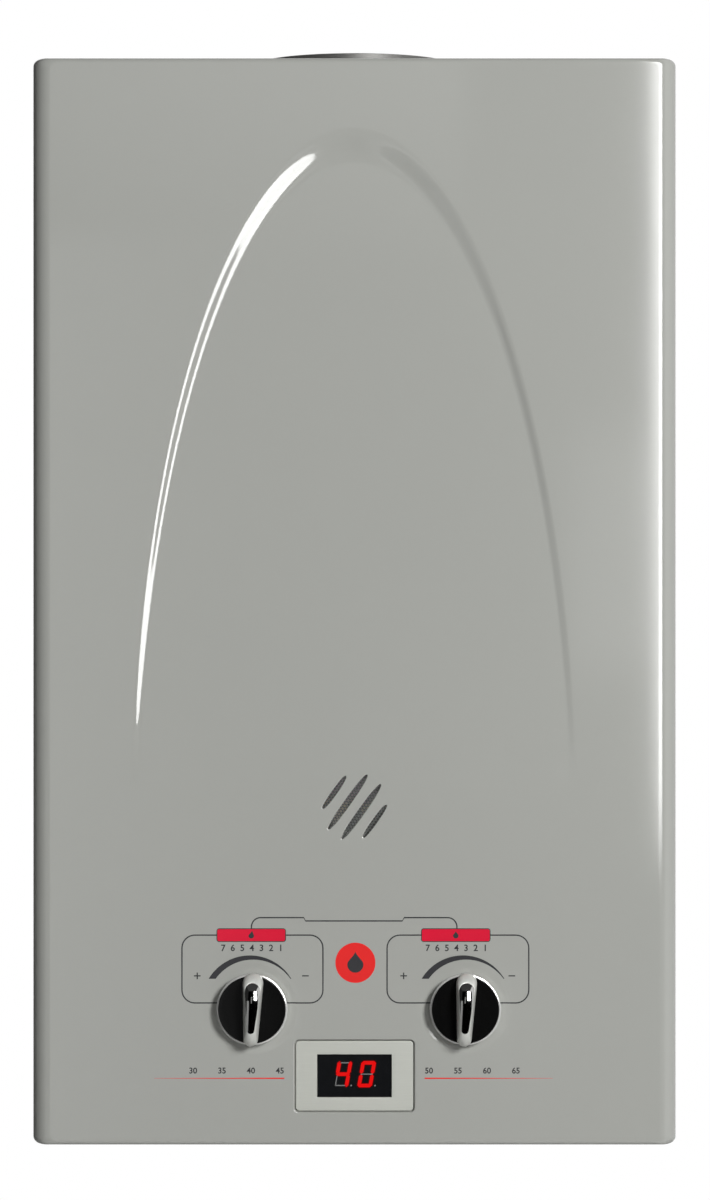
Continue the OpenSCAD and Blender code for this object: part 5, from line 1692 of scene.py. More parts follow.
    def number(self, text: str, x: float, z: float, height: float) -> list[Array]:
        """Give plain figures as triangles, centred on a place.

        Args:
            text: The figures.
            x: Place of their middle.
            z: Place of their middle.
            height: Height of a figure.

        Returns:
            The triangles.
        """
        curve = bpy.data.curves.new("figures", "FONT")
        curve.body = text
        curve.size = height / self.cap_share
        curve.resolution_u = 3
        curve.offset = self.bold
        curve.fill_mode = "FRONT"
        obj = bpy.data.objects.new("figures", curve)
        bpy.context.scene.collection.objects.link(obj)
        depsgraph = bpy.context.evaluated_depsgraph_get()
        mesh = bpy.data.meshes.new_from_object(obj.evaluated_get(depsgraph))
        flat = np.array([tuple(vertex.co)[:2] for vertex in mesh.vertices])
        middle = (flat.min(axis=0) + flat.max(axis=0)) / 2.0
        flat = flat - middle + np.array([x, z])
        quads = [flat[list(polygon.vertices)] for polygon in mesh.polygons]
        bpy.data.objects.remove(obj)
        bpy.data.curves.remove(curve)
        bpy.data.meshes.remove(mesh)
        return quads

    def build(self) -> None:
        """Print the panel."""
        left, right = self.centres
        sign_z = self.box_top - 0.3
        prints = (
            ("knob_boxes", [quad for ends in self.boxes for quad in self.box(*ends)], "grey", 0.0),
            ("arcs", [quad for x, _ in self.cover.knobs for quad in self.crescent(x)], "grey", 0.0),
            ("bar_outlines", [self.bar(x, self.bar_rim) for x in self.centres], "grey", 1.0),
            ("bars", [self.bar(x) for x in self.centres], "red", 2.0),
            ("link", self.link(*self.link_ends), "grey", 0.0),
            ("disc", [circle(self.disc_x, self.disc_z, self.disc_r, 64)], "orange", 0.0),
            (
                "red_lines",
                [quad for ends in self.line_ends for quad in self.underline(*ends)],
                "orange",
                0.0,
            ),
            (
                "bar_signs",
                self.drop(left, sign_z, 1.5, 2, 0.8, 0.8, 0.35) + self.drop(right, sign_z, 1.5),
                "grey",
                3.0,
            ),
            ("figures", self.figures(), "grey", 0.0),
            ("disc_sign", self.drop(self.disc_x, self.disc_z - 1.0, 4.4), "grey", 1.0),
        )
        for name, outlines, ink, lift in prints:
            self.decal(f"print_{name}", outlines, f"print_{ink}", lift)

    def figures(self) -> list[Array]:
        """Give the figures and the plus and minus signs."""
        quads = []
        for x in self.centres:
            quads += self.number(self.steps_text, x, self.steps_z, self.steps_h)
        half, z = self.sign_half, self.sign_z
        for x in (*self.plus_x, *self.minus_x):
            quads += self.stroke(np.array([(x - half, z), (x + half, z)]), self.sign_line)
        for x in self.plus_x:
            quads += self.stroke(np.array([(x, z - half), (x, z + half)]), self.sign_line)
        for x, row in self.scales:
            quads += self.number(row, x, self.scale_z, self.scale_h)
        return quads


@dataclass
class DisplayUnit:
    """The display: a brushed frame in the cover's pocket, a smoked window and two lit digits."""

    palette: Palette
    cover: PressedCover
    round_r: float = 0.45
    border: float = 0.55
    corner_r: float = 2.2
    inner_half_w: float = 20.25
    inner_half_h: float = 11.65
    digit_h: float = 14.3
    digit_w: float = 8.0
    segment: float = 1.95
    halo: float = 0.4
    slant: float = 10.0
    digit_gap: float = 12.9
    digits_x: float = 0.2
    digits_z: float = 0.8
    segment_gap: float = 0.12
    unlit_keep: tuple[float, float] = (0.92, 0.3)
    stands: float = 0.03
    halo_stands: float = 0.02
    sunk: float = 0.2
    point_spot: tuple[float, float] = (5.6, -6.2)
    point_r: float = 0.45
    digits: tuple[str, ...] = ("4", "0")

    LIT = {"4": "bcfg", "0": "abcdef"}

    def frame_shape(self) -> Shape:
        """Build the frame with round outer edges and a raised border round the window."""
        bezel = Extent.of("display_bezel")
        half_w, half_h = bezel.high[0], bezel.half[2]
        face, floor = bezel.low[1], bezel.high[1]
        inner_w, inner_h = self.inner_half_w, self.inner_half_h
        r, b, corner = self.round_r, self.border, self.corner_r
        section = [
            (half_w, half_h, corner, floor),
            (half_w, half_h, corner, face + r),
        ]
        for angle in QUARTER_TURN:
            inset, back = r * (1.0 - math.cos(angle)), r - r * math.sin(angle)
            section.append((half_w - inset, half_h - inset, corner - inset, face + back))
        section += [
            (inner_w + b + 0.25, inner_h + b + 0.25, 0.8, face),
            (inner_w + b, inner_h + b, 0.7, face + 0.12),
            (inner_w + b - 0.08, inner_h + b - 0.08, 0.65, face + 0.02),
            (inner_w + 0.12, inner_h + 0.12, 0.35, face + 0.02),
            (inner_w, inner_h, 0.3, face + 0.14),
            (inner_w, inner_h, 0.3, floor),
        ]
        rows = []
        for w, h, radius, y in section:
            loop = rounded_outline(w, h, radius, 8, 1)
            rows.append(upright(loop + np.array([0.0, self.cover.pocket_z]), y))
        rows.append(rows[0])
        return Shape.of(np.vstack(rows), grid_faces(len(rows), len(rows[0]), closed=True)).merged()

    def segment_outline(self, name: str) -> Array:
        """Give the outline of one segment of a digit before it slants, its middle at the origin."""
        half_w, half_h, t = self.digit_w / 2.0, self.digit_h / 2.0, self.segment
        gap, body = self.segment_gap, t / 2.0
        if name in "agd":
            z = {"a": half_h - body, "g": 0.0, "d": body - half_h}[name]
            low, high, middle = gap - half_w, half_w - gap, z
        else:
            middle = half_w - body if name in "bc" else body - half_w
            low, high = (gap, half_h - gap) if name in "bf" else (gap - half_h, -gap)
        along = (low, low + body, high - body, high, high - body, low + body)
        side = np.array((0.0, body, body, 0.0, -body, -body))
        if name in "agd":
            return np.stack([along, middle - side], axis=1)
        return np.stack([middle + side, along], axis=1)

    def digit_shapes(self, lit: bool, grow: float = 0.0) -> Shape:
        """Build the lit or the unlit segments of both digits as thin solids on the window.

        Args:
            lit: Whether the lit segments are wanted.
            grow: How far each segment is widened.

        Returns:
            The segments.
        """
        face = Extent.of("display_window").low[1]
        lean = math.tan(math.radians(self.slant))
        shape = Shape()
        outlines = []
        for index, figure in enumerate(self.digits):
            centre = (index - 0.5) * self.digit_gap + self.digits_x
            for name in "abcdefg":
                if (name in self.LIT[figure]) != lit:
                    continue
                outline = self.segment_outline(name)
                if grow:
                    middle = outline.mean(axis=0)
                    arms = outline - middle
                    outline = middle + arms * (1.0 + grow / np.abs(arms).max(axis=0))
                if not lit:
                    middle = outline.mean(axis=0)
                    keep = np.array(self.unlit_keep if name in "agd" else self.unlit_keep[::-1])
                    outline = middle + (outline - middle) * keep
                outlines.append(outline + np.array([centre, 0.0]))
            if not lit:
                x, z = self.point_spot
                outlines.append(circle(centre + x, z, self.point_r, 12))
        for outline in outlines:
            x = outline[:, 0] + outline[:, 1] * lean
            z = outline[:, 1] + self.cover.pocket_z + self.digits_z
            flat = np.stack([x, z], axis=1)
            stands = self.halo_stands if grow else self.stands
            front, back = upright(flat, face - stands), upright(flat, face + self.sunk)
            count = len(x)
            faces = [tuple(range(count)), tuple(range(2 * count - 1, count - 1, -1))]
            faces += [(k, k + count, (k + 1) % count + count, (k + 1) % count) for k in range(count)]
            shape.add(np.vstack([front, back]), faces)
        return shape

    def build(self) -> None:
        """Build the frame and the digits."""
        bezel = solid_object("display_frame", self.frame_shape(), self.palette["bezel_plastic"])
        place(bezel, "front_cover", "bezel_plastic", "display_bezel")
        pieces = (
            ("digits_lit", self.digit_shapes(True), "digit_lit"),
            # The halo is painted glow round the lit segments.
            ("digits_halo", self.digit_shapes(True, self.halo), "digit_halo"),
            ("digits_unlit", self.digit_shapes(False), "digit_unlit"),
        )
        for name, shape, finish in pieces:
            obj = solid_object(name, shape, self.palette[finish])
            place(obj, "front_cover", "smoked_window")


@dataclass
class ControlKnob:
    """A control knob: a gloss black disc, a bright rim and a tapered bar grip."""

    palette: Palette
    body: str
    turn: float = 2.5
    disc_roll: float = 0.35
    skirt: float = 1.6
    hub_r: float = 6.6
    bore_r: float = 4.1
    lip_r: float = 1.8
    lip_w: float = 1.0
    head_r: float = 5.6
    foot_r: float = 4.0
    crest_head_r: float = 4.15
    crest_foot_r: float = 2.0
    crest_top: float = 15.0
    crest_bottom: float = -12.3
    crest_cross_r: float = 8.0
    nose_z: float = 5.2
    nose_r: float = 13.0
    crest_fall: float = 7.5
    crest_bevel: float = 0.15

    FLANK = (
        (0.0, 0.0), (0.02, 0.16), (0.1, 0.36), (0.26, 0.58), (0.5, 0.78), (0.76, 0.92), (0.93, 0.985),
    )
    CREST = (0.985, 0.95, 0.88, 0.78, 0.66, 0.53, 0.4, 0.27, 0.13, 0.0)

    def __post_init__(self) -> None:
        """Read the knob's place from the frame."""
        disc, rim, grip = (Extent.of(f"{self.body}_{part}") for part in ("disc", "rim", "grip"))
        self.x, _, self.z = disc.middle
        self.back = disc.high[1]
        self.face = disc.low[1]
        self.disc_r = disc.half[0]
        self.rim_r = rim.half[0]
        self.rim_face = rim.low[1]
        self.grip_top = grip.low[1]
        self.reach = grip.half[2]

    def stand(self, shape: Shape) -> Shape:
        """Turn a shape whose axis is Z so that it looks out of the front, at the knob's place."""
        points = np.array(shape.points)
        x, up, out = points.T
        placed = np.stack([x + self.x, -out + self.back, up + self.z], axis=1)
        return Shape([tuple(p) for p in placed], shape.faces)

    def disc(self) -> Shape:
        """Build the disc with its rolled edge and its hub."""
        r = self.disc_r - 0.02
        t = self.back - self.face
        roll = self.disc_roll
        profile = [(0.0, t), (r / 2.0, t), (r - 2.2, t)]
        for a in np.radians(range(0, 91, 15)):
            profile.append((r - roll + roll * math.sin(a), t - roll + roll * math.cos(a)))
        skirt, hub, bore = r - self.skirt, self.hub_r, self.bore_r
        profile += [(r, 0.4), (r - 0.5, 0.0), (skirt, 0.0), (skirt, t - 2.0), (hub, t - 2.0)]
        profile += [(hub, 0.0), (bore, 0.0), (bore, t - 1.6), (0.0, t - 1.6)]
        return self.stand(lathe(profile[::-1], 128))

    def rim(self) -> Shape:
        """Build the bright rim, whose face rolls away outwards."""
        r, t = self.rim_r, self.back - self.rim_face
        inner = r - self.lip_w
        profile = [(inner, 0.0), (r - 0.15, 0.0), (r, 0.2)]
        last = math.asin(self.lip_w / self.lip_r)
        for k in range(9):
            a = last * (1.0 - k / 8.0)
            profile.append((inner + self.lip_r * math.sin(a), t - self.lip_r * (1.0 - math.cos(a))))
        profile.append((inner, 0.0))
        return self.stand(lathe(profile, 160))

    @staticmethod
    def capsule(head: float, foot: float, head_r: float, foot_r: float, steps: int = 24) -> Array:
        """Give the outline round two circles on the upright axis, anticlockwise.

        Args:
            head: Height of the outline's top.
            foot: Height of its bottom.
            head_r: Radius at the top.
            foot_r: Radius at the bottom.
            steps: Number of steps in each round end.

        Returns:
            Rows of two coordinates.
        """
        head_c, foot_c = head - head_r, foot + foot_r
        lean = math.asin((head_r - foot_r) / (head_c - foot_c))
        upper = np.linspace(-lean, math.pi + lean, steps + 1)
        lower = np.linspace(math.pi + lean, 2.0 * math.pi - lean, steps + 1)
        start = [(head_r * math.cos(a), head_c + head_r * math.sin(a)) for a in upper]
        end = [(foot_r * math.cos(a), foot_c + foot_r * math.sin(a)) for a in lower]
        down, sides = np.array(end[0]) - np.array(start[-1]), 12
        left = [tuple(np.array(start[-1]) + down * k / sides) for k in range(1, sides)]
        right = [(-x, z) for x, z in left[::-1]]
        return np.array(start + left + end + right)

    def crest_height(self, x: Array, z: Array) -> Array:
        """Give how far the crest falls away from the grip's highest point.

        Args:
            x: Places across the grip.
            z: Places along it.

        Returns:
            The falls, all positive.
        """
        across = self.crest_cross_r - np.sqrt(self.crest_cross_r**2 - x**2)
        limit = self.nose_r * math.sin(math.radians(self.crest_fall))
        off = z - self.nose_z
        bend = np.clip(off, -limit, None)
        along = self.nose_r - np.sqrt(self.nose_r**2 - bend**2)
        slope = math.tan(math.radians(self.crest_fall))
        return across + along + slope * np.maximum(-limit - off, 0.0)

    def grip(self) -> tuple[Shape, int]:
        """Build the grip's satin flanks and its mirror crest.

        Returns:
            The grip, and how many of its faces belong to the flanks.
        """
        top = self.face - self.grip_top
        base = self.capsule(self.reach, -self.reach, self.head_r, self.foot_r)
        crest = self.capsule(self.crest_top, self.crest_bottom, self.crest_head_r, self.crest_foot_r)
        edge = top - self.crest_height(crest[:, 0], crest[:, 1])
        rim = edge - self.crest_bevel
        rows = []
        for across, rise in self.FLANK:
            rows.append(np.column_stack([base + (crest - base) * across, rim * rise]))
        rows.append(np.column_stack([crest, rim]))
        flank_rows = len(rows)
        low, high = self.crest_bottom + self.crest_foot_r, self.crest_top - self.crest_head_r
        spine = np.stack([np.zeros(len(crest)), np.clip(crest[:, 1], low, high)], axis=1)
        for share in self.CREST:
            loop = spine + (crest - spine) * share
            rows.append(np.column_stack([loop, top - self.crest_height(loop[:, 0], loop[:, 1])]))
        points = np.vstack(rows)
        points[:, :2] = turned(points[:, :2], -self.turn)
        points[:, 2] += self.back - self.face
        foot = [tuple(reversed(range(len(base))))]
        shape = Shape.of(points, foot + grid_faces(len(rows), len(base), closed=True))
        return shape.merged(5), (flank_rows - 1) * len(base) + len(foot)

    def build(self) -> None:
        """Build the knob's three pieces."""
        for name, shape, finish, crease, part in (
            ("face", self.disc(), "knob_black", EDGE_CREASE, "disc"),
            ("ring", self.rim(), "knob_chrome", ROUND_CREASE, "rim"),
        ):
            obj = solid_object(f"{self.body}_{name}", shape, self.palette[finish], crease)
            place(obj, self.body, finish, f"{self.body}_{part}")
        shape, flanks = self.grip()
        mesh = make_mesh(f"{self.body}_bar", self.stand(shape).points, shape.faces)
        for polygon in mesh.polygons:
            polygon.material_index = 0 if polygon.index < flanks else 1
        turn_outwards(mesh)
        weigh_normals(mesh, 40.0)
        grip = new_object(mesh.name, mesh, self.palette["satin_silver"], self.palette["chrome_mirror"])
        place(grip, self.body, "knob_chrome", f"{self.body}_grip")


@dataclass
class FlueCollar:
    """The flue's socket on top: a drawn collar with a rolled rim and a flange."""

    palette: Palette
    wall: float = 0.8
    socket_r: float = 54.7

    def build(self) -> None:
        """Build the collar."""
        collar = Extent.of("flue_collar")
        flange_r, r = collar.half[0], self.socket_r
        base, top = collar.low[2], collar.high[2]
        inner = r - self.wall
        flange = [(-0.02, 0.0), (0.0, 0.5), (-0.4, 1.0)]
        foot = [(1.0, 1.0), (0.3, 1.3), (0.0, 2.0)]
        profile = [(inner, base), *((flange_r + out, base + up) for out, up in flange)]
        profile += [*((r + out, base + up) for out, up in foot), (r, top - 13.0)]
        bead = [(0.25, 12.2), (0.35, 11.4), (0.25, 10.6), (0.0, 9.8), (0.0, 0.8)]
        rolled = [(-0.05, 0.25), (-0.3, 0.0), (-0.6, 0.0)]
        profile += [(r + out, top - down) for out, down in bead + rolled]
        profile += [(inner, top - 0.3), (inner, base)]
        shape = lathe(profile, 144)
        shape.points = np.array(shape.points) + np.array([*collar.middle[:2], 0.0])
        obj = solid_object("flue_socket", shape, self.palette["flue_metal"])
        place(obj, "chassis", "flue_metal", "flue_collar")


@dataclass
class VentSheet:
    """The perforated sheet behind the vent: rows of holes in a staggered pattern."""

    palette: Palette
    cover: PressedCover
    layout: SetOnPoints
    pitch: float = 1.8
    hole_r: float = 0.69
    columns: int = 25
    rows: int = 11
    length: float = 46.2
    width: float = 36.8

    CORNERS = ((-1, -1), (1, -1), (1, 1), (-1, 1))

    def cell(self, low: float, high: float) -> Shape:
        """Build what repeats: a hole in the middle and a quarter of one at each corner."""
        half = np.array([self.pitch, self.pitch * math.sqrt(3.0)]) / 2.0
        outer = []
        for k, side in enumerate(self.CORNERS):
            outer.extend(arc(half * side, self.hole_r, 90.0 * k + 90.0, 90.0 * k, 3))
        hole = circle(0.0, 0.0, self.hole_r, 12)
        first = len(outer)
        walls = [tuple(range(4 * k, 4 * k + 4)) for k in range(4)]
        walls.append((*range(first, first + 12), first))
        return punched(np.array(outer), hole, low, high, walls)

    def build(self) -> None:
        """Lay the cells and close the sheet with a plain border."""
        back = Extent.of("vent_mesh")
        turn = math.radians(self.cover.slot_slope)
        along = Vector((math.cos(turn), 0.0, math.sin(turn)))
        across = Vector((-math.sin(turn), 0.0, math.cos(turn)))
        stand = Matrix((along, across, Vector((0.0, -1.0, 0.0)))).transposed()
        centre = Vector((0.0, back.high[1], self.cover.vent_z))
        step = np.array([self.pitch, self.pitch * math.sqrt(3.0)])
        spots = []
        for column in range(self.columns):
            for row in range(self.rows):
                u, v = step * (column - (self.columns - 1) / 2.0, row - (self.rows - 1) / 2.0)
                spots.append((centre + along * u + across * v, stand))
        thick = back.high[1] - back.low[1]
        # This finish is darkened as painted shade for the hollow behind the slots.
        finish = self.palette["mesh_steel"]
        sheet = self.layout.lay("vent_sheet", self.cell(0.0, thick), spots, finish)
        place(sheet, "front_cover", "mesh_steel", "vent_mesh")
        inner = step * (self.columns, self.rows) / 2.0
        corners = np.array(self.CORNERS)
        outer = corners * np.array([self.length, self.width]) / 2.0
        border = punched(outer, corners * inner, 0.0, thick, [(0, 1, 2, 3, 0), (4, 5, 6, 7, 4)])
        rim = self.layout.lay("vent_sheet_border", border, [(centre, stand)], finish)
        place(rim, "front_cover", "mesh_steel")


@dataclass
class Fasteners:
    """The heater's screws: domed heads with a cross in them, and their shanks and nuts."""

    palette: Palette
    layout: SetOnPoints
    flat_share: float = 0.66
    reach_share: float = 0.54
    arm_share: float = 0.11
    depth_share: float = 0.6
    hook_head_h: float = 2.2
    hook_shank_r: float = 2.0
    plate_t: float = 1.2
    steps: int = 24

    def head(self, radius: float, height: float) -> Shape:
        """Build a head that stands on the XY plane.

        Args:
            radius: Its radius.
            height: Its height.

        Returns:
            The head.
        """
        flat_r = radius * self.flat_share
        profile = [(0.0, 0.0), (radius, 0.0), (radius, height / 3.0)]
        for angle in QUARTER_TURN:
            out, up = (radius - flat_r) * math.cos(angle), 2.0 * math.sin(angle)
            profile.append((flat_r + out, height / 3.0 * (1.0 + up)))
        shape = lathe(profile, self.steps)
        w, r = radius * self.arm_share, radius * self.reach_share
        cross = [(w, -r), (w, -w), (r, -w), (r, w), (w, w), (w, r)]
        cross += [(-x, -z) for x, z in cross]
        first = self.steps
        floor = height * (1.0 - self.depth_share)
        run = (*range(first, first + 12), first)
        top = punched(circle(0.0, 0.0, flat_r, self.steps), np.array(cross), floor, height, [run])
        count = len(top.points) // 2
        under = [face for face in top.faces if min(face) >= count]
        top.faces = [face for face in top.faces if face not in under]
        base = count + first
        for arm in ((0, 1, 10, 11), (1, 2, 3, 4), (4, 5, 6, 7), (7, 8, 9, 10), (1, 4, 7, 10)):
            top.faces.append(tuple(base + k for k in arm))
        shape.join(top)
        return shape.merged(5)

    @staticmethod
    def standing(axis: Sequence[float]) -> Matrix:
        """Give the turn that brings the Z axis to a direction."""
        return Vector((0.0, 0.0, 1.0)).rotation_difference(Vector(axis)).to_matrix()

    def drive(
        self, name: str, shape: Shape, spots: Sequence[tuple[Vector, Matrix]], node: str
    ) -> None:
        """Lay a screw at spots in place of a node of the chassis."""
        obj = self.layout.lay(name, shape, spots, self.palette["fastener_steel"])
        place(obj, "chassis", "fastener_steel", node)

    def chassis(self) -> None:
        """Set the screws that hold the chassis to the wall side."""
        box = Extent.of("chassis_screws")
        height = box.high[1] - box.low[1]
        radius = height * 1.5
        stand = self.standing((0.0, -1.0, 0.0))
        spots = [
            (Vector((x, box.high[1], z)), stand)
            for x in np.linspace(box.low[0] + radius, box.high[0] - radius, 3)
            for z in (box.low[2] + radius, box.high[2] - radius)
        ]
        self.drive("wall_plate_screws", self.head(radius, height), spots, "chassis_screws")

    def cover(self) -> None:
        """Set the shouldered screws that the cover's slots slide on."""
        box = Extent.of("cover_screws")
        radius = box.half[1]
        seat = box.high[0] - self.hook_head_h
        inner = Extent.of("rear_plate").high[0] - seat - self.plate_t
        nut = inner - self.hook_head_h
        shape = self.head(radius, self.hook_head_h)
        shank = self.hook_shank_r
        shape.join(lathe([(0.0, inner), (shank, inner), (shank, 0.0), (0.0, 0.0)], self.steps))
        shape.join(lathe([(0.0, nut), (radius, nut), (radius, inner), (0.0, inner)], 6))
        spots = [
            (Vector((side * seat, box.middle[1], z)), self.standing((side, 0.0, 0.0)))
            for side in (-1.0, 1.0)
            for z in (box.low[2] + radius, box.high[2] - radius)
        ]
        self.drive("cover_hook_screws", shape, spots, "cover_screws")

    def diaphragm(self) -> None:
        """Set the ring of screws round the water valve's diaphragm."""
        box = Extent.of("diaphragm_screws")
        height = box.high[0] - box.low[0]
        stand = self.standing((-1.0, 0.0, 0.0))
        ring = arc((box.middle[2], box.middle[1]), box.half[1] - height, 30.0, 330.0, 5)
        spots = [(Vector((box.high[0], y, z)), stand) for z, y in ring]
        self.drive("diaphragm_ring_screws", self.head(height, height), spots, "diaphragm_screws")

    def build(self) -> None:
        """Set all the screws."""
        self.chassis()
        self.cover()
        self.diaphragm()


@dataclass
class Coils:
    """What winds round an axis: the push rod's return spring and the threads of the pipe ends."""

    palette: Palette
    wire: SpiralWire
    spring_r: float = 4.6
    spring_wire: float = 0.5
    spring_turns: float = 6.5
    spring_keep: float = 0.8
    thread_r: float = 10.4
    thread_ridge: float = 0.36
    thread_pitch: float = 1.814
    thread_len: float = 13.0

    def spring(self) -> None:
        """Wind the return spring, with closed ends."""
        box = Extent.of("return_spring")
        foot = (box.low[0], box.middle[1], box.middle[2])
        start = (foot[0] + self.spring_wire, *foot[1:])
        length = box.high[0] - box.low[0] - 2.0 * self.spring_wire
        stand, finish = Fasteners.standing((1.0, 0.0, 0.0)), self.palette["fastener_steel"]
        obj = self.wire.coil(
            "rod_return_spring", start, stand, finish,
            Radius=self.spring_r, Length=length, Turns=self.spring_turns,
            Wire=self.spring_wire, Closing=0.55, Steps=28, Sides=10,
        )
        place(obj, "chassis", "fastener_steel", "return_spring")
        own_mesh(obj)

    def threads(self) -> None:
        """Wind a ridge round each threaded pipe end."""
        for node in ("hot_outlet", "water_inlet", "gas_inlet"):
            box = Extent.of(node)
            base = (*box.middle[:2], box.low[2] + 0.9)
            obj = self.wire.coil(
                f"{node}_thread", base, Matrix.Identity(3), self.palette["brass"],
                Radius=self.thread_r, Length=self.thread_len,
                Turns=self.thread_len / self.thread_pitch, Wire=self.thread_ridge,
                Closing=0.0, Steps=48, Sides=4,
            )
            place(obj, "chassis", "brass")

    def build(self) -> None:
        """Wind everything."""
        self.spring()
        self.threads()


class CarriedNodes:
    """The frame's own nodes that keep their shape and get a finish."""

    FINISH_OF = {
        "zinc_sheet": ("rear_plate", "top_plate", "pipe_shelf", "core_brackets", "draught_hood"),
        "copper": (
            "block_shell", "block_fins", "block_tubes",
            "combustion_chamber", "chamber_coil", "cold_pipe",
        ),
        "tube_steel": ("hot_pipe", "gas_feed_pipe", "gas_manifold"),
        "brass": ("hot_outlet", "gas_jets", "gas_inlet", "pipe_nuts", "water_inlet", "drain_plug"),
        "burner_steel": ("burner_frame", "burner_bars"),
        "cast_alloy": ("gas_valve", "water_valve", "diaphragm_housing"),
        "white_ceramic": ("ignition_electrodes", "flame_sensor"),
        "fastener_steel": ("push_rod", "lever_pin", "lid_pin", "gas_spindle", "water_spindle"),
        "black_plastic": (
            "overheat_sensor", "temperature_probe", "spill_sensor", "valve_switch", "control_box",
        ),
        "grey_plastic": ("battery_box", "battery_lid", "switch_lever", "gas_solenoid"),
        "cell_wrap": ("battery_cells",),
        "circuit_board": ("display_board",),
        "smoked_window": ("display_window",),
    }

    def __init__(self, palette: Palette) -> None:
        """Keep the palette."""
        self.palette = palette

    def dress(self) -> None:
        """Give every carried node its finish."""
        for finish, names in self.FINISH_OF.items():
            for name in names:
                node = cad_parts[name]
                if not node.material_slots:
                    node.data.materials.append(self.palette[finish])
                for slot in node.material_slots:
                    slot.material = self.palette[finish]
                LOG.info("%s is finished in %s", name, finish)


@dataclass
class Studio:
    """Camera, lamps, reflection cards and floor."""

    distance: float = 2.5
    frame_height: float = 0.6512
    sensor: float = 36.0
    camera_x: float = 0.0003
    camera_z: float = 0.00076
    floor_z: float = -0.85
    floor_r: float = 1.2
    floor_colour: Colour = (0.8, 0.8, 0.8)
    key_power: float = 68.0
    fill_power: float = 8.0
    room: float = 0.105
    key_size: float = 0.7
    key_place: tuple[float, float, float] = (1.3, -2.4, 0.72)
    fill_size: float = 1.4
    fill_place: tuple[float, float, float] = (-0.1, -3.0, 0.2)

    AIM = (0.0, -0.16, 0.0)
    CARDS = (
        (
            "strip", (0.0, 14.0, *(16.0,) * 12),
            (0.2318, -1.165, -0.215), (0.68, -1.165, -0.215),
            (0.68, -1.165, 0.74), (0.2235, -1.165, 0.74),
        ),
        (
            "halo", (0.0, 0.8, 0.8, 0.8, 0.7, 0.0),
            (0.235, -2.68, -0.11), (0.36, -2.68, -0.11), (0.36, -2.68, 0.22), (0.235, -2.68, 0.22),
        ),
        (
            "dark_wall", (0.0, 0.0),
            (-3.5, -3.6, -2.5), (3.5, -3.6, -2.5), (3.5, -3.6, 3.5), (-3.5, -3.6, 3.5),
        ),
        (
            "dark_side", (0.03, 0.03),
            (-2.2, 3.5, -2.5), (-2.2, -3.6, -2.5), (-2.2, -3.6, 3.5), (-2.2, 3.5, 3.5),
        ),
        (
            "dark_top", (0.08, 0.08),
            (-2.2, -3.6, 3.5), (2.2, -3.6, 3.5), (2.2, 1.0, 3.5), (-2.2, 1.0, 3.5),
        ),
        (
            "glow_left", (0.0, 0.12, 0.35, 0.65, 0.95),
            (-0.06, -2.68, -0.64), (-0.06, -2.68, 0.4), (-0.4, -2.68, 0.4), (-0.4, -2.68, -0.64),
        ),
        (
            "glow_top", (0.1, 0.35, 0.6, 0.75),
            (-0.42, -2.68, 0.405), (0.12, -2.68, 0.405), (0.12, -2.68, 0.63), (-0.42, -2.68, 0.63),
        ),
        (
            "grey_card", (0.45, 0.45),
            (-2.1, -2.6, -2.0), (-1.3, -2.9, -2.0), (-1.3, -2.9, -0.2), (-2.1, -2.6, -0.2),
        ),
    )

    def camera(self) -> None:
        """Stand the camera level in front of the case."""
        front = Extent.of("front_cover").low[1] * MM
        data = bpy.data.cameras.new("camera")
        data.sensor_fit = "VERTICAL"
        data.sensor_height = self.sensor
        data.sensor_width = self.sensor
        data.lens = self.sensor * self.distance / self.frame_height
        data.clip_start = 0.05
        data.clip_end = 30.0
        obj = bpy.data.objects.new("camera", data)
        obj.location = (self.camera_x, front - self.distance, self.camera_z)
        obj.rotation_euler = (math.radians(90.0), 0.0, 0.0)
        bpy.context.scene.collection.objects.link(obj)
        bpy.context.scene.camera = obj

    def lamp(self, name: str, spot: Sequence[float], size: float, power: float) -> None:
        """Hang a square lamp that reflections don't show.

        Args:
            name: Its name.
            spot: Where it hangs, in metres.
            size: Length of its side.
            power: Its power in watts.
        """
        data = bpy.data.lights.new(name, "AREA")
        data.shape = "SQUARE"
        data.size = size
        data.energy = power
        obj = bpy.data.objects.new(name, data)
        obj.location = spot
        ahead = Vector(self.AIM) - Vector(spot)
        obj.rotation_euler = ahead.to_track_quat("-Z", "Y").to_euler()
        obj.visible_glossy = False
        bpy.context.scene.collection.objects.link(obj)

    def card(self, name: str, corners: Sequence[Sequence[float]], bands: Sequence[float]) -> None:
        """Hang a card of level bands that only reflections see.

        Args:
            name: Its name.
            corners: Its four corners in metres, from its lower left one, anticlockwise.
            bands: How brightly it shines from its lower to its upper edge, at even steps.
        """
        low_left, low_right, high_right, high_left = (np.array(corner) for corner in corners)
        points = []
        for k in range(len(bands)):
            share = k / max(len(bands) - 1, 1)
            points.append(tuple(low_left + (high_left - low_left) * share))
            points.append(tuple(low_right + (high_right - low_right) * share))
        mesh = bpy.data.meshes.new(name)
        mesh.from_pydata(points, [], grid_faces(len(bands), 2))
        shine = mesh.color_attributes.new("shine", "FLOAT_COLOR", "POINT")
        for k, value in enumerate(bands):
            for side in (0, 1):
                shine.data[2 * k + side].color = (value, value, value, 1.0)
        material, nodes, light = new_material(name, "ShaderNodeEmission", {})
        shine = nodes.add("ShaderNodeAttribute", attribute_name="shine").outputs["Fac"]
        nodes.fill(light, {"Strength": shine})
        obj = new_object(name, mesh, material)
        for rays in ("camera", "diffuse", "shadow", "transmission"):
            setattr(obj, f"visible_{rays}", False)

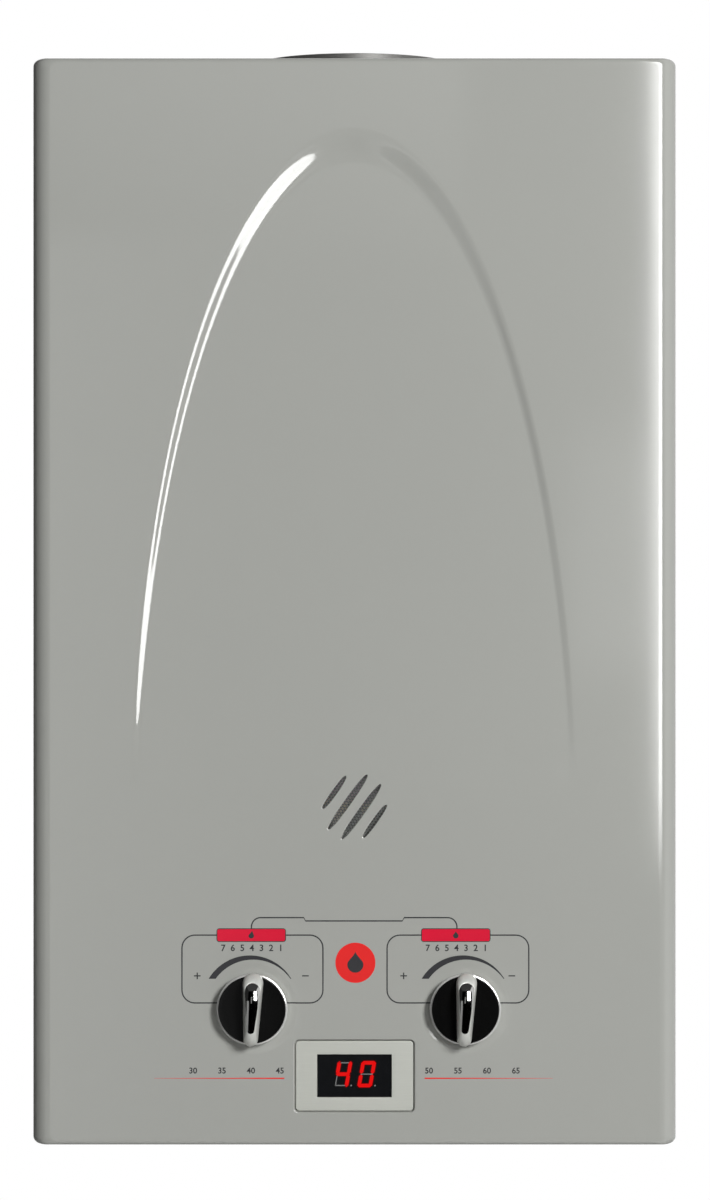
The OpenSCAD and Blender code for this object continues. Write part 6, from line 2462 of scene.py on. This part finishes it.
    def cards(self) -> None:
        """Hang the bright strip at the right, its faint halo, two glows and the dark cards."""
        for name, bands, *corners in self.CARDS:
            self.card(name, corners, bands)

    def world(self) -> None:
        """Light the room softly and show white behind the object."""
        world = bpy.data.worlds.new("room")
        bpy.context.scene.world = world
        world.use_nodes = True
        nodes = Nodes(world.node_tree)
        seen = nodes.add("ShaderNodeLightPath")
        direct = nodes.math("MAXIMUM", seen.outputs["Is Camera Ray"], seen.outputs["Is Glossy Ray"])
        direct = nodes.math("MAXIMUM", direct, seen.outputs["Is Transmission Ray"])
        strength = nodes.remap(direct, 0.0, 1.0, self.room, 1.0)
        light = {"Color": rgba((1.0, 1.0, 1.0)), "Strength": strength}
        light = nodes.add("ShaderNodeBackground", light)
        nodes.add("ShaderNodeOutputWorld", {"Surface": light.outputs[0]})

    def floor(self) -> None:
        """Lay a pale round floor below the heater."""
        steps = 96
        rim = [(x, y, self.floor_z) for x, y in circle(0.0, 0.0, self.floor_r, steps)]
        mesh = bpy.data.meshes.new("floor")
        mesh.from_pydata(rim, [], [tuple(range(steps))])
        inputs = {"Base Color": rgba(self.floor_colour), "Roughness": 0.7}
        material, _, _ = new_material("floor", "ShaderNodeBsdfPrincipled", inputs)
        new_object("floor", mesh, material)

    def build(self) -> None:
        """Set the studio up."""
        scene = bpy.context.scene
        scene.view_settings.view_transform = "Standard"
        self.camera()
        self.lamp("key", self.key_place, self.key_size, self.key_power)
        self.lamp("fill", self.fill_place, self.fill_size, self.fill_power)
        self.cards()
        self.world()
        self.floor()


def main() -> None:
    """Build the heater's looks and the studio."""
    logging.basicConfig(level=logging.INFO, format="%(name)s: %(message)s")
    palette = Palette(FINISHES)
    cover = PressedCover(palette)
    cover.build()
    PrintedPanel(palette, cover).build()
    DisplayUnit(palette, cover).build()
    ControlKnob(palette, "gas_knob").build()
    ControlKnob(palette, "water_knob").build()
    FlueCollar(palette).build()
    layout = SetOnPoints()
    VentSheet(palette, cover, layout).build()
    Fasteners(palette, layout).build()
    Coils(palette, SpiralWire()).build()
    CarriedNodes(palette).dress()
    Studio().build()


if __name__ == "__main__":
    main()
